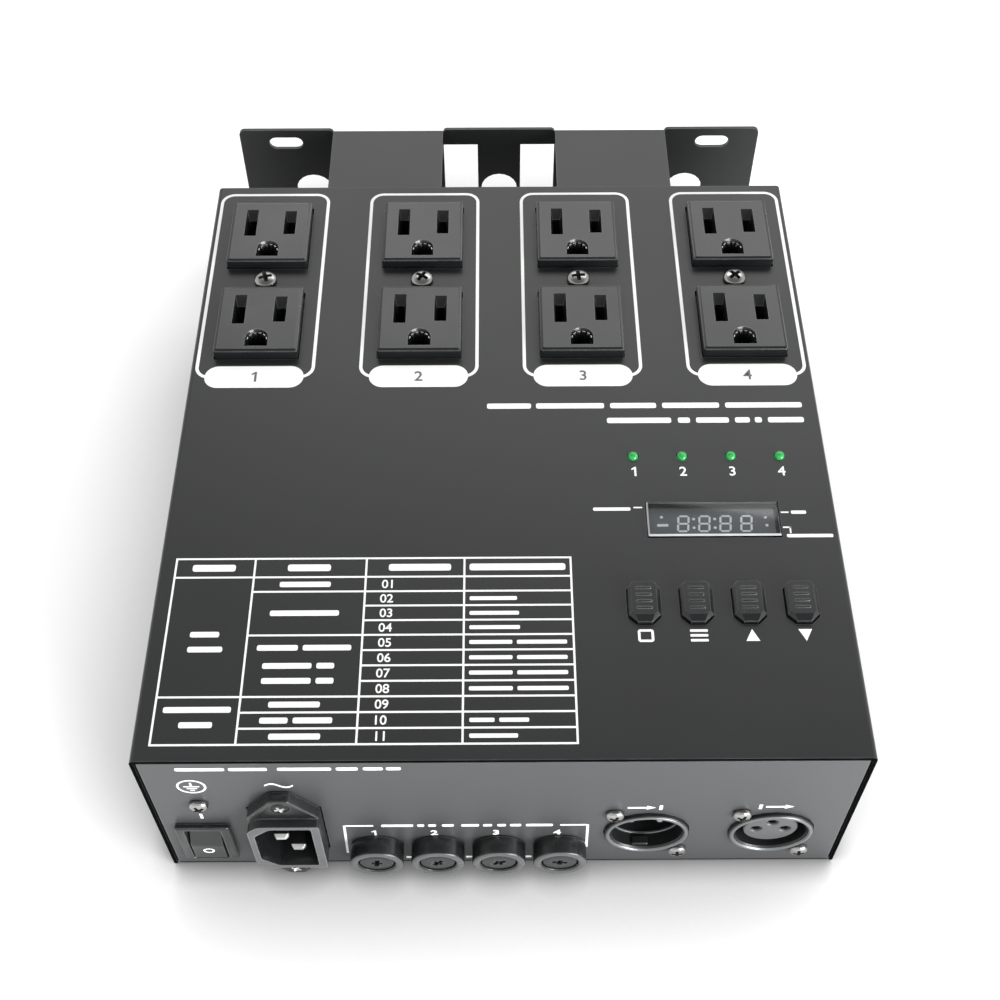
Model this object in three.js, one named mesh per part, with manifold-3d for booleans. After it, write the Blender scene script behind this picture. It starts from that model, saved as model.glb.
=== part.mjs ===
import * as THREE from 'three';
import { mergeVertices } from 'three/addons/utils/BufferGeometryUtils.js';
import Module from 'manifold-3d';

const wasm = await Module();
wasm.setup();

// Four-channel dimmer pack, in millimetres. X runs to the right, Y away from the
// front panel and Z up. The origin is the middle of the casing's underside.

// Casing
const caseWidth = 190;
const caseDepth = 213;
const caseHeight = 66;
const coverSheet = 1;
const traySheet = 1.2;
const foldRadius = 0.4;
const sideReveal = 0.7;
const topReveal = 0.4;
const coverLift = 0.5;
const trayFlangeHeight = 12;
const trayFlangeRelief = 3;

// Clearances and shared cuts
const seatGap = 0.3;
const overrun = 1;

// Ventilation slots and countersunk screw holes in the cover's sides
const ventCount = 9;
const ventWidth = 2.6;
const ventHeight = 24;
const ventPitch = 7;
const ventCentreYShare = 0.12;
const ventCentreZShare = 0.46;
const coverScrewHeadRadius = 2.8;
const coverScrewShankRadius = 1.5;
const coverScrewRowShares = [-0.4, 0, 0.4];

// Hanging bracket
const bracketSheet = 1.2;
const bracketStandoff = 46;
const bracketTop = 52.4;
const bracketGround = 3;
const bracketCorner = 2.2;
const tabInnerEdge = 20.4;
const tabOuterEdge = 60.4;
const tabFlangeHeight = 20;
const tabBend = 2.6;
const tabCorner = 1.6;
const bracketScrewDropShare = 0.6;
const clampHoleRadius = 6.7;
const clampHoleHeight = 24.7;
const clampHoleOffsetShare = 0.368;
const strapSlotLength = 12.3;
const strapSlotWidth = 5.2;
const strapSlotDrop = 5.9;
const strapSlotOffsetShare = 0.412;
const windowInnerEdge = 7.9;
const windowTopBar = 6.9;
const windowFoot = 10;

// Duplex receptacles
const channelCount = 4;
const channelPitchShare = 0.2638;
const receptacleRowShare = 0.2939;
const outletPitch = 38.9;
const faceWidth = 25.8;
const faceLength = 27.6;
const faceRise = 3.5;
const faceBevel = 0.5;
const bodyWidth = 28;
const bodyMargin = 1;
const bodyDepth = 22;
const bladeSpacing = 12.7;
const bladeSlotWidth = 2.6;
const neutralSlotLength = 9.6;
const liveSlotLength = 8.2;
const slotDepth = 14;
const slotRowOffset = 3.4;
const earthHoleOffset = 8.5;
const earthHoleRadius = 2.9;
const earthHoleFlat = 2.5;

// Controls on the top
const controlCentreShare = 0.3147;
const controlPitchShare = 0.0751;
const ledRowShare = -0.0446;
const displayRowShare = -0.1512;
const buttonRowShare = -0.2817;
const ledRadius = 1.5;
const ledRise = 1.3;
const ledFlangeRadius = 1.9;
const ledDomeShare = 0.85;
const ledCrownShare = 0.72;
const ledCrownDropShare = 0.22;
const lensWidth = 37.4;
const lensLength = 11.8;
const lensRise = 0.8;
const lensBevel = 0.4;
const lensFlange = 1.8;
const lensFlangeHeight = 1;
const displayDrop = 3.3;
const displayHeight = 7;
const displayWidth = 35.6;
const displayLength = 11;
const capWidth = 8.6;
const capLength = 13.1;
const capCorner = 2.4;
const capRise = 2;
const capBevel = 0.9;
const capFlange = 0.9;
const capFlangeHeight = 1;
const stemRadius = 1.6;
const buttonTravel = 0.6;

// Control board under the cover
const boardSheet = 1.6;
const boardMargin = 6;
const boardScrewInset = 3;
const studRadius = 2;
const switchSize = 6;
const switchHeight = 4.3;
const switchWellDepth = 2.4;

// Rocker switch
const rockerCentreShare = -0.4337;
const rockerHeight = 18.3;
const bezelWidth = 15;
const bezelLength = 21;
const bezelRise = 2;
const rockerBodyWidth = 12.8;
const rockerBodyLength = 18.8;
const rockerBodyDepth = 15;
const rockerWall = 1.4;
const paddleWidth = 9;
const paddleLength = 16.4;
const paddleRecess = 1;
const paddleRise = 1.8;
const paddleThickness = 4;
const paddleTilt = 12;
const paddlePivotDrop = 1.5;
const terminalWidth = 4.8;
const terminalSheet = 0.8;
const terminalLength = 8;

// Power inlet
const inletCentreShare = -0.31;
const inletGround = 0.4;
const inletFlangeLength = 49.4;
const inletFlangeRise = 3.4;
const inletEarTip = 5;
const inletScrewSpacing = 40;
const shroudWidth = 19.6;
const shroudLength = 27.1;
const shroudRise = 6;
const inletBodyDepth = 17;
const cavityWidth = 16.3;
const cavityLength = 24;
const cavityChamfer = 4.6;
const cavityDepth = 16;
const pinSpacing = 14;
const pinOffset = 2;
const pinWidth = 4;
const pinSheet = 2;
const pinSetback = 2.8;

// Fuse holders, from the panel's outer face
const fuseCentreShare = -0.0518;
const fuseCount = 4;
const fusePitchShare = 0.09;
const fuseHeight = 12.2;
const rimRadiusShare = 0.424;
const rimRise = 4.8;
const rimChamfer = 0.5;
const barrelRadiusShare = 0.345;
const barrelLength = 25;
const nutRadiusShare = 0.468;
const nutHeight = 3;
const carrierRadiusShare = 0.2836;
const carrierSetback = 0.5;
const carrierLength = 6.5;
const carrierSocketDepth = 3.6;
const carrierSlotWidth = 1.2;
const carrierSlotLength = 6;
const carrierSlotDepth = 1.4;
const fuseRadius = 2.6;
const fuseGlassRadius = 2.4;
const fuseLength = 20;
const fuseFerruleLength = 5.5;

// Signal connectors
const signalInShare = 0.2087;
const signalOutShare = 0.39;
const signalHeight = 21.6;
const ringRadius = 11.7;
const ringRise = 1.35;
const boreRadius = 9.75;
const signalBodyDepth = 21;
const signalFlangeWidth = 25;
const signalFlangeLength = 30;
const signalFlangeSheet = 2;
const signalScrewSpacingX = 19;
const signalScrewSpacingZ = 23.6;
const insertThickness = 4;
const contactCircle = 4;
const contactPinRadius = 1.2;
const contactPinLength = 12;
const plugInsertRadius = 7.2;
const plugInsertSetback = 1.8;
const contactHoleRadius = 1.6;
const contactHoleDepth = 12;
const keyWidth = 5.4;
const keyHeight = 1.1;
const keyLength = 6;

// Screws
const panelScrewHeadRadius = 2.8;
const panelScrewHeadHeight = 1.9;
const panelScrewShankRadius = 1.45;
const panelScrewLength = 9;
const receptacleScrewHeadRadius = 3.6;
const receptacleScrewHeadHeight = 1.9;
const receptacleScrewShankRadius = 1.6;
const receptacleScrewLength = 12;
const bracketScrewHeadRadius = 4;
const bracketScrewHeadHeight = 2.8;
const bracketScrewShankRadius = 2;
const bracketScrewLength = 10;
const crossWidthShare = 0.3;
const crossLengthShare = 1.2;
const crossDepthShare = 0.55;
const headShoulderShare = 0.45;
const headCrownShare = 0.6;
const earthScrewShare = -0.427;
const earthScrewHeight = 41;

// Power board and what stands on it
const standoffHeight = 6;
const standoffRadius = 2.6;
const powerBoardWidthShare = 0.84;
const powerBoardLengthShare = 0.66;
const powerBoardCentreShare = 0.09;
const powerBoardInset = 5;
const heatSinkLengthShare = 0.68;
const heatSinkHeight = 20;
const heatSinkBase = 4;
const finCount = 4;
const finSheet = 1.6;
const finPitch = 4.2;
const heatSinkRowShare = 0.42;
const triacWidth = 10;
const triacHeight = 16;
const triacSheet = 4.6;
const triacLead = 3;
const chokeRadius = 8.2;
const chokeWireRadius = 4;
const chokeRowShare = -0.06;
const powerPitchShare = 0.17;
const powerRowCentreShare = -0.1;
const capacitorWidth = 17;
const capacitorLength = 8;
const capacitorHeight = 14;
const capacitorRowShare = -0.38;
const terminalBlockLength = 10;
const terminalBlockHeight = 12;
const terminalBlockRowShare = 0.16;
const transformerWidth = 34;
const transformerLength = 28;
const transformerHeight = 22;
const transformerStack = 13;
const transformerCentreXShare = 0.34;
const transformerCentreYShare = -0.25;
const coilMargin = 4;

// Facets around each round piece
const screwSides = 10;
const slotSides = 2;
const bevelSides = 3;
const cornerSides = 4;
const smallSides = 12;
const fuseSides = 16;
const roundSides = 20;
const chokeSides = 8;

// Derived levels and edges
const halfWidth = caseWidth / 2;
const halfDepth = caseDepth / 2;
const coverUnder = caseHeight - coverSheet;
const trayTop = coverUnder - topReveal;
const trayHalf = halfWidth - coverSheet - sideReveal;
const trayFlangeFace = halfWidth - coverSheet - seatGap;
const channelPitch = caseWidth * channelPitchShare;
const receptacleRow = caseDepth * receptacleRowShare;
const controlCentre = caseWidth * controlCentreShare;
const ledRow = caseDepth * ledRowShare;
const displayRow = caseDepth * displayRowShare;
const buttonRow = caseDepth * buttonRowShare;
const boardTopDrop = displayDrop + displayHeight + seatGap;
const controlPitch = caseWidth * controlPitchShare;
const fusePitch = caseWidth * fusePitchShare;
const rimRadius = fusePitch * rimRadiusShare;
const barrelRadius = fusePitch * barrelRadiusShare;
const nutRadius = fusePitch * nutRadiusShare;
const carrierRadius = fusePitch * carrierRadiusShare;
const powerBoardWidth = (caseWidth - 2 * coverSheet) * powerBoardWidthShare;
const powerBoardLength = (caseDepth - 2 * traySheet) * powerBoardLengthShare;
const powerBoardCentre = caseDepth * powerBoardCentreShare;
const powerBoardUnder = traySheet + standoffHeight + seatGap;
const powerBoardTop = powerBoardUnder + boardSheet;
const partSeat = powerBoardTop + seatGap;

// Materials
const finish = (color, roughness, metalness) =>
  new THREE.MeshStandardMaterial({ color, roughness, metalness });
const casingPaint = finish('#3b3c3e', 0.55, 0.2);
const blackPlastic = finish('#232426', 0.5, 0);
const darkPlastic = finish('#2c2d2f', 0.42, 0);
const greyPlastic = finish('#6f7274', 0.5, 0);
const nickel = finish('#c3c5c6', 0.3, 1);
const greenLens = finish('#2fbf5b', 0.25, 0);
const clearLens = finish('#9fa5a8', 0.1, 0);
const boardGreen = finish('#2f5d3a', 0.6, 0);
const glassTube = finish('#d9dde0', 0.15, 0.1);
const extrusion = finish('#9ea2a5', 0.4, 0.9);
const windings = finish('#a8672e', 0.4, 0.6);
const lamination = finish('#50535a', 0.5, 0.6);

// Closed geometry to solid, facing outward whichever way its outline was drawn
function toSolid(source) {
  const bare = source.clone();
  bare.deleteAttribute('normal');
  bare.deleteAttribute('uv');
  const merged = mergeVertices(bare);
  const places = merged.attributes.position.array;
  const corners = merged.index.array;
  const faces = [];
  let volume = 0;
  const point = (index) => new THREE.Vector3().fromArray(places, 3 * index);
  for (let i = 0; i < corners.length; i += 3) {
    const [a, b, c] = [corners[i], corners[i + 1], corners[i + 2]];
    if (a === b || b === c || c === a) continue;
    faces.push([a, b, c]);
    volume += point(a).dot(point(b).cross(point(c)));
  }
  const outward = volume > 0 ? faces : faces.map(([a, b, c]) => [a, c, b]);
  return new wasm.Manifold(new wasm.Mesh({
    numProp: 3,
    vertProperties: Float32Array.from(places),
    triVerts: Uint32Array.from(outward.flat()),
  }));
}

function toGeometry(solid) {
  const mesh = solid.getMesh();
  const geometry = new THREE.BufferGeometry();
  geometry.setAttribute('position', new THREE.BufferAttribute(mesh.vertProperties, 3));
  geometry.setIndex(new THREE.BufferAttribute(mesh.triVerts, 1));
  geometry.computeVertexNormals();
  return geometry;
}

function join(...pieces) {
  return toGeometry(pieces.map(toSolid).reduce((whole, piece) => whole.add(piece)));
}

function cut(body, ...tools) {
  return toGeometry(tools.map(toSolid).reduce((rest, tool) => rest.subtract(tool), toSolid(body)));
}

function block([x0, x1], [y0, y1], [z0, z1]) {
  const box = new THREE.BoxGeometry(x1 - x0, y1 - y0, z1 - z0);
  return box.translate((x0 + x1) / 2, (y0 + y1) / 2, (z0 + z1) / 2);
}

const around = (centre, size) => [centre - size / 2, centre + size / 2];

// Outline carried between two levels along the axis that its plane leaves free
function prism(outline, plane, from, to, curveSegments = cornerSides) {
  const options = { depth: to - from, bevelEnabled: false, curveSegments };
  const body = new THREE.ExtrudeGeometry(outline, options);
  const [x, y, z] = [
    new THREE.Vector3(1, 0, 0),
    new THREE.Vector3(0, 1, 0),
    new THREE.Vector3(0, 0, 1),
  ];
  const turn = new THREE.Matrix4();
  if (plane === 'XY') return body.translate(0, 0, from);
  if (plane === 'XZ') {
    turn.makeBasis(x, z, y.clone().negate());
    return body.applyMatrix4(turn).translate(0, to, 0);
  }
  turn.makeBasis(y, z, x);
  return body.applyMatrix4(turn).translate(from, 0, 0);
}

// Upright plate whose rims are bevelled
function bevelled(outline, from, to, bevel) {
  return new THREE.ExtrudeGeometry(outline, {
    depth: to - from - 2 * bevel,
    bevelThickness: bevel,
    bevelSize: bevel,
    bevelOffset: -bevel,
    bevelSegments: 1,
    curveSegments: bevelSides,
  }).translate(0, 0, from + bevel);
}

function polygon(points) {
  return new THREE.Shape(points.map(([x, y]) => new THREE.Vector2(x, y)));
}

function rectangle(width, length) {
  const [w, l] = [width / 2, length / 2];
  return polygon([[-w, -l], [w, -l], [w, l], [-w, l]]);
}

function octagon(width, length, corner) {
  const [w, l] = [width / 2, length / 2];
  return polygon([
    [-w, -l + corner], [-w + corner, -l], [w - corner, -l], [w, -l + corner],
    [w, l - corner], [w - corner, l], [-w + corner, l], [-w, l - corner],
  ]);
}

// Slot with round ends along the longer of its two spans
function slotOutline(spanX, spanY) {
  const radius = Math.min(spanX, spanY) / 2;
  const [reachX, reachY] = [spanX / 2 - radius, spanY / 2 - radius];
  const start = spanY > spanX ? 0 : -Math.PI / 2;
  const outline = new THREE.Shape();
  outline.absarc(reachX, reachY, radius, start, start + Math.PI, false);
  outline.absarc(-reachX, -reachY, radius, start + Math.PI, start + 2 * Math.PI, false);
  return outline;
}

// Folded channel open at the top, with rounded corners
function channelOutline(span, rise, sheet) {
  const half = span / 2;
  const outer = foldRadius + sheet;
  const [left, right] = [-half + outer, half - outer];
  const outline = new THREE.Shape();
  outline.moveTo(-half, rise);
  outline.lineTo(-half, outer);
  outline.absarc(left, outer, outer, Math.PI, 1.5 * Math.PI, false);
  outline.absarc(right, outer, outer, 1.5 * Math.PI, 2 * Math.PI, false);
  outline.lineTo(half, rise);
  outline.lineTo(half - sheet, rise);
  outline.absarc(right, outer, foldRadius, 2 * Math.PI, 1.5 * Math.PI, true);
  outline.absarc(left, outer, foldRadius, 1.5 * Math.PI, Math.PI, true);
  outline.lineTo(-half + sheet, rise);
  return outline;
}

// Turned piece around Z; points are radius and height from the axis and back to it
function turned(points, sides) {
  const profile = points.map(([radius, height]) => new THREE.Vector2(radius, height));
  return new THREE.LatheGeometry(profile, sides).rotateX(Math.PI / 2);
}

const rod = (radius, from, to, sides = smallSides) =>
  turned([[0, from], [radius, from], [radius, to], [0, to]], sides);

// Turns a piece made around Z so that its top faces the front or the rear
const facingFront = (geometry) => geometry.rotateX(Math.PI / 2);
const facingRear = (geometry) => geometry.rotateX(-Math.PI / 2);

const pack = new THREE.Group();
const frontPanel = new THREE.Group();
frontPanel.position.y = -halfDepth;
const topPanel = new THREE.Group();
topPanel.position.z = caseHeight;
pack.add(frontPanel, topPanel);

function add(parent, name, geometry, material, x = 0, y = 0, z = 0) {
  const mesh = new THREE.Mesh(geometry, material.clone());
  mesh.name = name;
  mesh.position.set(x, y, z);
  parent.add(mesh);
  return mesh;
}

const rowPlaces = (count, pitch, centre = 0) =>
  Array.from({ length: count }, (_, i) => centre + (i - (count - 1) / 2) * pitch);

const channelPlaces = rowPlaces(channelCount, channelPitch);
const controlPlaces = rowPlaces(channelCount, controlPitch, controlCentre);
const fusePlaces = rowPlaces(fuseCount, fusePitch, caseWidth * fuseCentreShare);
const rockerX = caseWidth * rockerCentreShare;
const inletX = caseWidth * inletCentreShare;
const inletZ = inletGround + inletFlangeLength / 2;
const earthX = caseWidth * earthScrewShare;
const signalPlaces = { in: caseWidth * signalInShare, out: caseWidth * signalOutShare };

// Pan head screw with a cross recess, its head seated at Z zero
function panScrew(headRadius, headHeight, shankRadius, length) {
  const body = turned([
    [0, -length], [shankRadius, -length], [shankRadius, 0], [headRadius, 0],
    [headRadius, headHeight * headShoulderShare], [headRadius * headCrownShare, headHeight],
    [0, headHeight],
  ], screwSides);
  const width = headRadius * crossWidthShare;
  const reach = headRadius * crossLengthShare;
  const depth = [headHeight * (1 - crossDepthShare), headHeight + overrun];
  return cut(
    body,
    block(around(0, width), around(0, reach), depth),
    block(around(0, reach), around(0, width), depth),
  );
}

const panelScrew = () => facingFront(panScrew(
  panelScrewHeadRadius, panelScrewHeadHeight, panelScrewShankRadius, panelScrewLength));

// Chassis tray: front, bottom and rear from one sheet, with side flanges and standoffs
const panelCut = [-overrun, traySheet + overrun];

function frontPanelCuts() {
  const hole = (radius, x, z, sides = smallSides) =>
    facingRear(rod(radius, ...panelCut, sides)).translate(x, 0, z);
  const cuts = [
    block(around(rockerX, rockerBodyWidth + 2 * seatGap), panelCut,
      around(rockerHeight, rockerBodyLength + 2 * seatGap)),
    block(around(inletX, shroudWidth + 2 * seatGap), panelCut,
      around(inletZ, shroudLength + 2 * seatGap)),
    hole(panelScrewShankRadius + seatGap, earthX, earthScrewHeight),
  ];
  for (const side of [-1, 1]) {
    const z = inletZ + side * inletScrewSpacing / 2;
    cuts.push(hole(panelScrewShankRadius + seatGap, inletX, z));
  }
  for (const x of fusePlaces) cuts.push(hole(barrelRadius + seatGap, x, fuseHeight, fuseSides));
  for (const x of Object.values(signalPlaces)) {
    cuts.push(hole(ringRadius + seatGap, x, signalHeight, roundSides));
    for (const [dx, dz] of signalScrewPlaces()) {
      cuts.push(hole(panelScrewShankRadius + seatGap, x + dx, signalHeight + dz));
    }
  }
  return cuts.map((tool) => tool.translate(0, -halfDepth, 0));
}

function signalScrewPlaces() {
  return [
    [-signalScrewSpacingX / 2, signalScrewSpacingZ / 2],
    [signalScrewSpacingX / 2, -signalScrewSpacingZ / 2],
  ];
}

const bracketScrewX = (tabInnerEdge + tabOuterEdge) / 2;
const bracketScrewZ = bracketTop - tabFlangeHeight * bracketScrewDropShare;

function chassisTray() {
  const profile = channelOutline(caseDepth, trayTop, traySheet);
  const folded = prism(profile, 'YZ', -trayHalf, trayHalf);
  const flangeEnd = halfDepth - traySheet - trayFlangeRelief;
  const flangeRun = [-flangeEnd, flangeEnd];
  const pieces = [folded];
  for (const side of [-1, 1]) {
    const faces = [side * (trayFlangeFace - traySheet), side * trayFlangeFace];
    const edges = [Math.min(...faces), Math.max(...faces)];
    pieces.push(block(edges, flangeRun, [0, trayFlangeHeight]));
  }
  pieces.push(block([-trayFlangeFace, trayFlangeFace], flangeRun, [0, traySheet]));
  for (const [x, y] of powerBoardCorners()) {
    pieces.push(rod(standoffRadius, 0, traySheet + standoffHeight).translate(x, y, 0));
  }
  const rearHoles = [-1, 1].map((side) =>
    facingRear(rod(bracketScrewShankRadius + seatGap, ...panelCut))
      .translate(side * bracketScrewX, halfDepth - traySheet, bracketScrewZ));
  const flangeHoles = coverScrewPlaces().map(([side, y, z]) =>
    rod(coverScrewShankRadius, -traySheet - overrun, overrun, screwSides)
      .rotateY(side * Math.PI / 2)
      .translate(side * trayFlangeFace, y, z));
  return cut(join(...pieces), ...frontPanelCuts(), ...rearHoles, ...flangeHoles);
}

function coverScrewPlaces() {
  const places = coverScrewRowShares.map((share) => [share * caseDepth, trayFlangeHeight / 2]);
  return [-1, 1].flatMap((side) => places.map(([y, z]) => [side, y, z]));
}

function powerBoardCorners() {
  const x = powerBoardWidth / 2 - powerBoardInset;
  const y = powerBoardLength / 2 - powerBoardInset;
  return [[-x, -y], [x, -y], [-x, y], [x, y]].map(([cx, cy]) => [cx, cy + powerBoardCentre]);
}

// Control board outline, shared by the cover's studs and the board
const boardWidth = controlPitch * (channelCount - 1) + capWidth + boardMargin;
const boardFront = buttonRow - capLength / 2 - capFlange - 2 * boardScrewInset;
const boardRear = ledRow + boardMargin;

function boardCorners() {
  const x = boardWidth / 2 - boardScrewInset;
  const [front, rear] = [boardFront + boardScrewInset, boardRear - boardScrewInset];
  return [[-x, front], [x, front], [-x, rear], [x, rear]].map(([cx, cy]) => [cx + controlCentre, cy]);
}

// Top cover: top and both sides from one sheet, with openings and welded studs
function topCover() {
  const profile = channelOutline(caseWidth, caseHeight - coverLift, coverSheet);
  const folded = prism(profile, 'XZ', -halfDepth, halfDepth)
    .rotateY(Math.PI)
    .translate(0, 0, caseHeight);
  const studs = boardCorners().map(([x, y]) =>
    rod(studRadius, caseHeight - boardTopDrop + seatGap, coverUnder + coverSheet / 2)
      .translate(x, y, 0));
  const through = [coverUnder - overrun, caseHeight + overrun];
  const hole = (radius, x, y) => rod(radius, ...through).translate(x, y, 0);
  const cuts = [];
  for (const x of channelPlaces) {
    cuts.push(hole(receptacleScrewShankRadius + seatGap, x, receptacleRow));
    for (const side of [-1, 1]) {
      cuts.push(block(
        around(x, faceWidth + 2 * seatGap),
        around(receptacleRow + side * outletPitch / 2, faceLength + 2 * seatGap),
        through,
      ));
    }
  }
  for (const x of controlPlaces) {
    cuts.push(hole(ledRadius + seatGap, x, ledRow));
    const opening = octagon(capWidth + 2 * seatGap, capLength + 2 * seatGap, capCorner);
    cuts.push(prism(opening, 'XY', ...through).translate(x, buttonRow, 0));
  }
  cuts.push(block(
    around(controlCentre, lensWidth + 2 * seatGap),
    around(displayRow, lensLength + 2 * seatGap),
    through,
  ));
  for (const y of rowPlaces(ventCount, ventPitch, caseDepth * ventCentreYShare)) {
    cuts.push(prism(slotOutline(ventWidth, ventHeight), 'YZ', -caseWidth, caseWidth, slotSides)
      .translate(0, y, caseHeight * ventCentreZShare));
  }
  for (const [side, y, z] of coverScrewPlaces()) {
    const sink = turned([
      [0, -coverSheet - overrun], [coverScrewShankRadius, -coverSheet - overrun],
      [coverScrewShankRadius, -coverSheet], [coverScrewHeadRadius, 0],
      [coverScrewHeadRadius, overrun], [0, overrun],
    ], screwSides);
    cuts.push(sink.rotateY(side * Math.PI / 2).translate(side * halfWidth, y, z));
  }
  return cut(join(folded, ...studs), ...cuts);
}

// Side view of one tab: down from the plate's top, across, and down along the rear panel
function tabOutline(seat, far) {
  const outline = new THREE.Shape();
  const inner = tabBend - bracketSheet;
  const bendZ = bracketTop - tabBend;
  outline.moveTo(far, bendZ - bracketSheet);
  outline.absarc(far - tabBend, bendZ, tabBend, 0, Math.PI / 2);
  outline.absarc(seat + tabBend, bendZ, tabBend, Math.PI / 2, Math.PI);
  outline.lineTo(seat, bracketTop - tabFlangeHeight);
  outline.lineTo(seat + bracketSheet, bracketTop - tabFlangeHeight);
  outline.absarc(seat + tabBend, bendZ, inner, Math.PI, Math.PI / 2, true);
  outline.absarc(far - tabBend, bendZ, inner, Math.PI / 2, 0, true);
  outline.lineTo(far - bracketSheet, bendZ - bracketSheet);
  return outline;
}

// Hanging bracket: a plate behind the casing, with two tabs folded forward to the rear panel
function hangingBracket() {
  const near = halfDepth + bracketStandoff;
  const far = near + bracketSheet;
  const height = bracketTop - bracketGround;
  const plateOutline = new THREE.Shape();
  plateOutline.moveTo(-halfWidth, 0);
  plateOutline.lineTo(halfWidth, 0);
  plateOutline.absarc(halfWidth - bracketCorner, height - bracketCorner, bracketCorner, 0, Math.PI / 2);
  for (const [right, left] of [[tabOuterEdge, tabInnerEdge], [-tabInnerEdge, -tabOuterEdge]]) {
    plateOutline.absarc(right + tabCorner, height - tabCorner, tabCorner, Math.PI / 2, Math.PI);
    plateOutline.lineTo(right, height - tabBend);
    plateOutline.lineTo(left, height - tabBend);
    plateOutline.absarc(left - tabCorner, height - tabCorner, tabCorner, 0, Math.PI / 2);
  }
  plateOutline.absarc(-halfWidth + bracketCorner, height - bracketCorner, bracketCorner,
    Math.PI / 2, Math.PI);
  const pieces = [prism(plateOutline, 'XZ', near, far).translate(0, 0, bracketGround)];
  const cuts = [];
  const through = [near - overrun, far + overrun];
  const holes = [-1, 0, 1].map((side) =>
    facingRear(rod(clampHoleRadius, ...through, roundSides))
      .translate(side * caseWidth * clampHoleOffsetShare, 0, clampHoleHeight));
  cuts.push(...holes);
  for (const side of [-1, 1]) {
    const across = (inner, outer) => [side * inner, side * outer].sort((a, b) => a - b);
    const tabSpan = across(tabInnerEdge, tabOuterEdge);
    const seat = halfDepth + seatGap;
    pieces.push(prism(tabOutline(seat, far), 'YZ', ...tabSpan));
    cuts.push(prism(slotOutline(strapSlotLength, strapSlotWidth), 'XZ', ...through)
      .translate(side * caseWidth * strapSlotOffsetShare, 0, bracketTop - strapSlotDrop));
    cuts.push(block(across(windowInnerEdge, tabInnerEdge), through,
      [windowFoot, bracketTop - windowTopBar]));
    cuts.push(facingRear(rod(bracketScrewShankRadius + seatGap, ...panelCut))
      .translate(side * bracketScrewX, seat, bracketScrewZ));
  }
  return cut(join(...pieces), ...cuts);
}

add(pack, 'chassis_tray', chassisTray(), casingPaint);
add(pack, 'top_cover', topCover(), casingPaint);
add(pack, 'hanging_bracket', hangingBracket(), casingPaint);

// Duplex receptacle: two raised faces over one body, modelled under the panel's top at Z zero
const bodyTop = -coverSheet - seatGap;
const outletPlaces = rowPlaces(2, outletPitch);

function receptacle() {
  const bodyLength = outletPitch + faceLength + 2 * bodyMargin;
  const bodyFloor = bodyTop - bodyDepth;
  const body = block(around(0, bodyWidth), around(0, bodyLength), [bodyFloor, bodyTop]);
  const sinkTo = faceRise - slotDepth;
  const cuts = [rod(receptacleScrewShankRadius + seatGap, bodyTop - receptacleScrewLength, 0)];
  const faces = [];
  for (const y of outletPlaces) {
    const outline = rectangle(faceWidth, faceLength);
    const rise = bevelled(outline, bodyTop - faceBevel - overrun, faceRise, faceBevel);
    faces.push(rise.translate(0, y, 0));
    const bladeSlot = (x, length) => block(
      around(x, bladeSlotWidth), around(y + slotRowOffset, length), [sinkTo, faceRise + overrun]);
    cuts.push(bladeSlot(-bladeSpacing / 2, neutralSlotLength));
    cuts.push(bladeSlot(bladeSpacing / 2, liveSlotLength));
    const arch = new THREE.Shape();
    arch.moveTo(-earthHoleRadius, -earthHoleFlat);
    arch.lineTo(earthHoleRadius, -earthHoleFlat);
    arch.absarc(0, 0, earthHoleRadius, 0, Math.PI, false);
    cuts.push(prism(arch, 'XY', sinkTo, faceRise + overrun).translate(0, y - earthHoleOffset, 0));
  }
  return cut(join(body, ...faces), ...cuts);
}

const receptacleScrew = panScrew(receptacleScrewHeadRadius, receptacleScrewHeadHeight,
  receptacleScrewShankRadius, receptacleScrewLength - overrun);

channelPlaces.forEach((x, i) => {
  add(topPanel, `receptacle_${i + 1}`, receptacle(), blackPlastic, x, receptacleRow);
  add(topPanel, `receptacle_screw_${i + 1}`, receptacleScrew, nickel, x, receptacleRow, seatGap);
});

// Channel LED: domed lens with a flange under the cover and a spacer down to the board
function channelLed() {
  const shoulder = ledRise - ledRadius * ledDomeShare;
  const flangeTop = -coverSheet - seatGap;
  return turned([
    [0, seatGap - boardTopDrop], [ledFlangeRadius, seatGap - boardTopDrop],
    [ledFlangeRadius, flangeTop], [ledRadius, flangeTop],
    [ledRadius, shoulder], [ledRadius * ledCrownShare, ledRise - ledRadius * ledCrownDropShare],
    [0, ledRise],
  ], smallSides);
}

controlPlaces.forEach((x, i) =>
  add(topPanel, `channel_led_${i + 1}`, channelLed(), greenLens, x, ledRow));

// Display: a clear lens standing a little proud of the cover, and the digit module under it
function displayWindow() {
  const flangeTop = -coverSheet - seatGap;
  const flangeUnder = flangeTop - lensFlangeHeight;
  const lens = bevelled(rectangle(lensWidth, lensLength), flangeUnder, lensRise, lensBevel);
  const flangeWidth = lensWidth + 2 * lensFlange;
  const flangeLength = lensLength + 2 * lensFlange;
  return join(lens, block(around(0, flangeWidth), around(0, flangeLength), [flangeUnder, flangeTop]));
}

const displayModule = block(around(0, displayWidth), around(0, displayLength),
  [-displayDrop - displayHeight, -displayDrop]);
add(topPanel, 'display_window', displayWindow(), clearLens, controlCentre, displayRow);
add(topPanel, 'display_module', displayModule, greyPlastic, controlCentre, displayRow);

// Push button: octagonal cap, a flange that keeps it under the cover, and a stem in its switch
const switchTopDrop = boardTopDrop - switchHeight;
const stemEndDrop = switchTopDrop + switchWellDepth - buttonTravel - seatGap;

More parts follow.
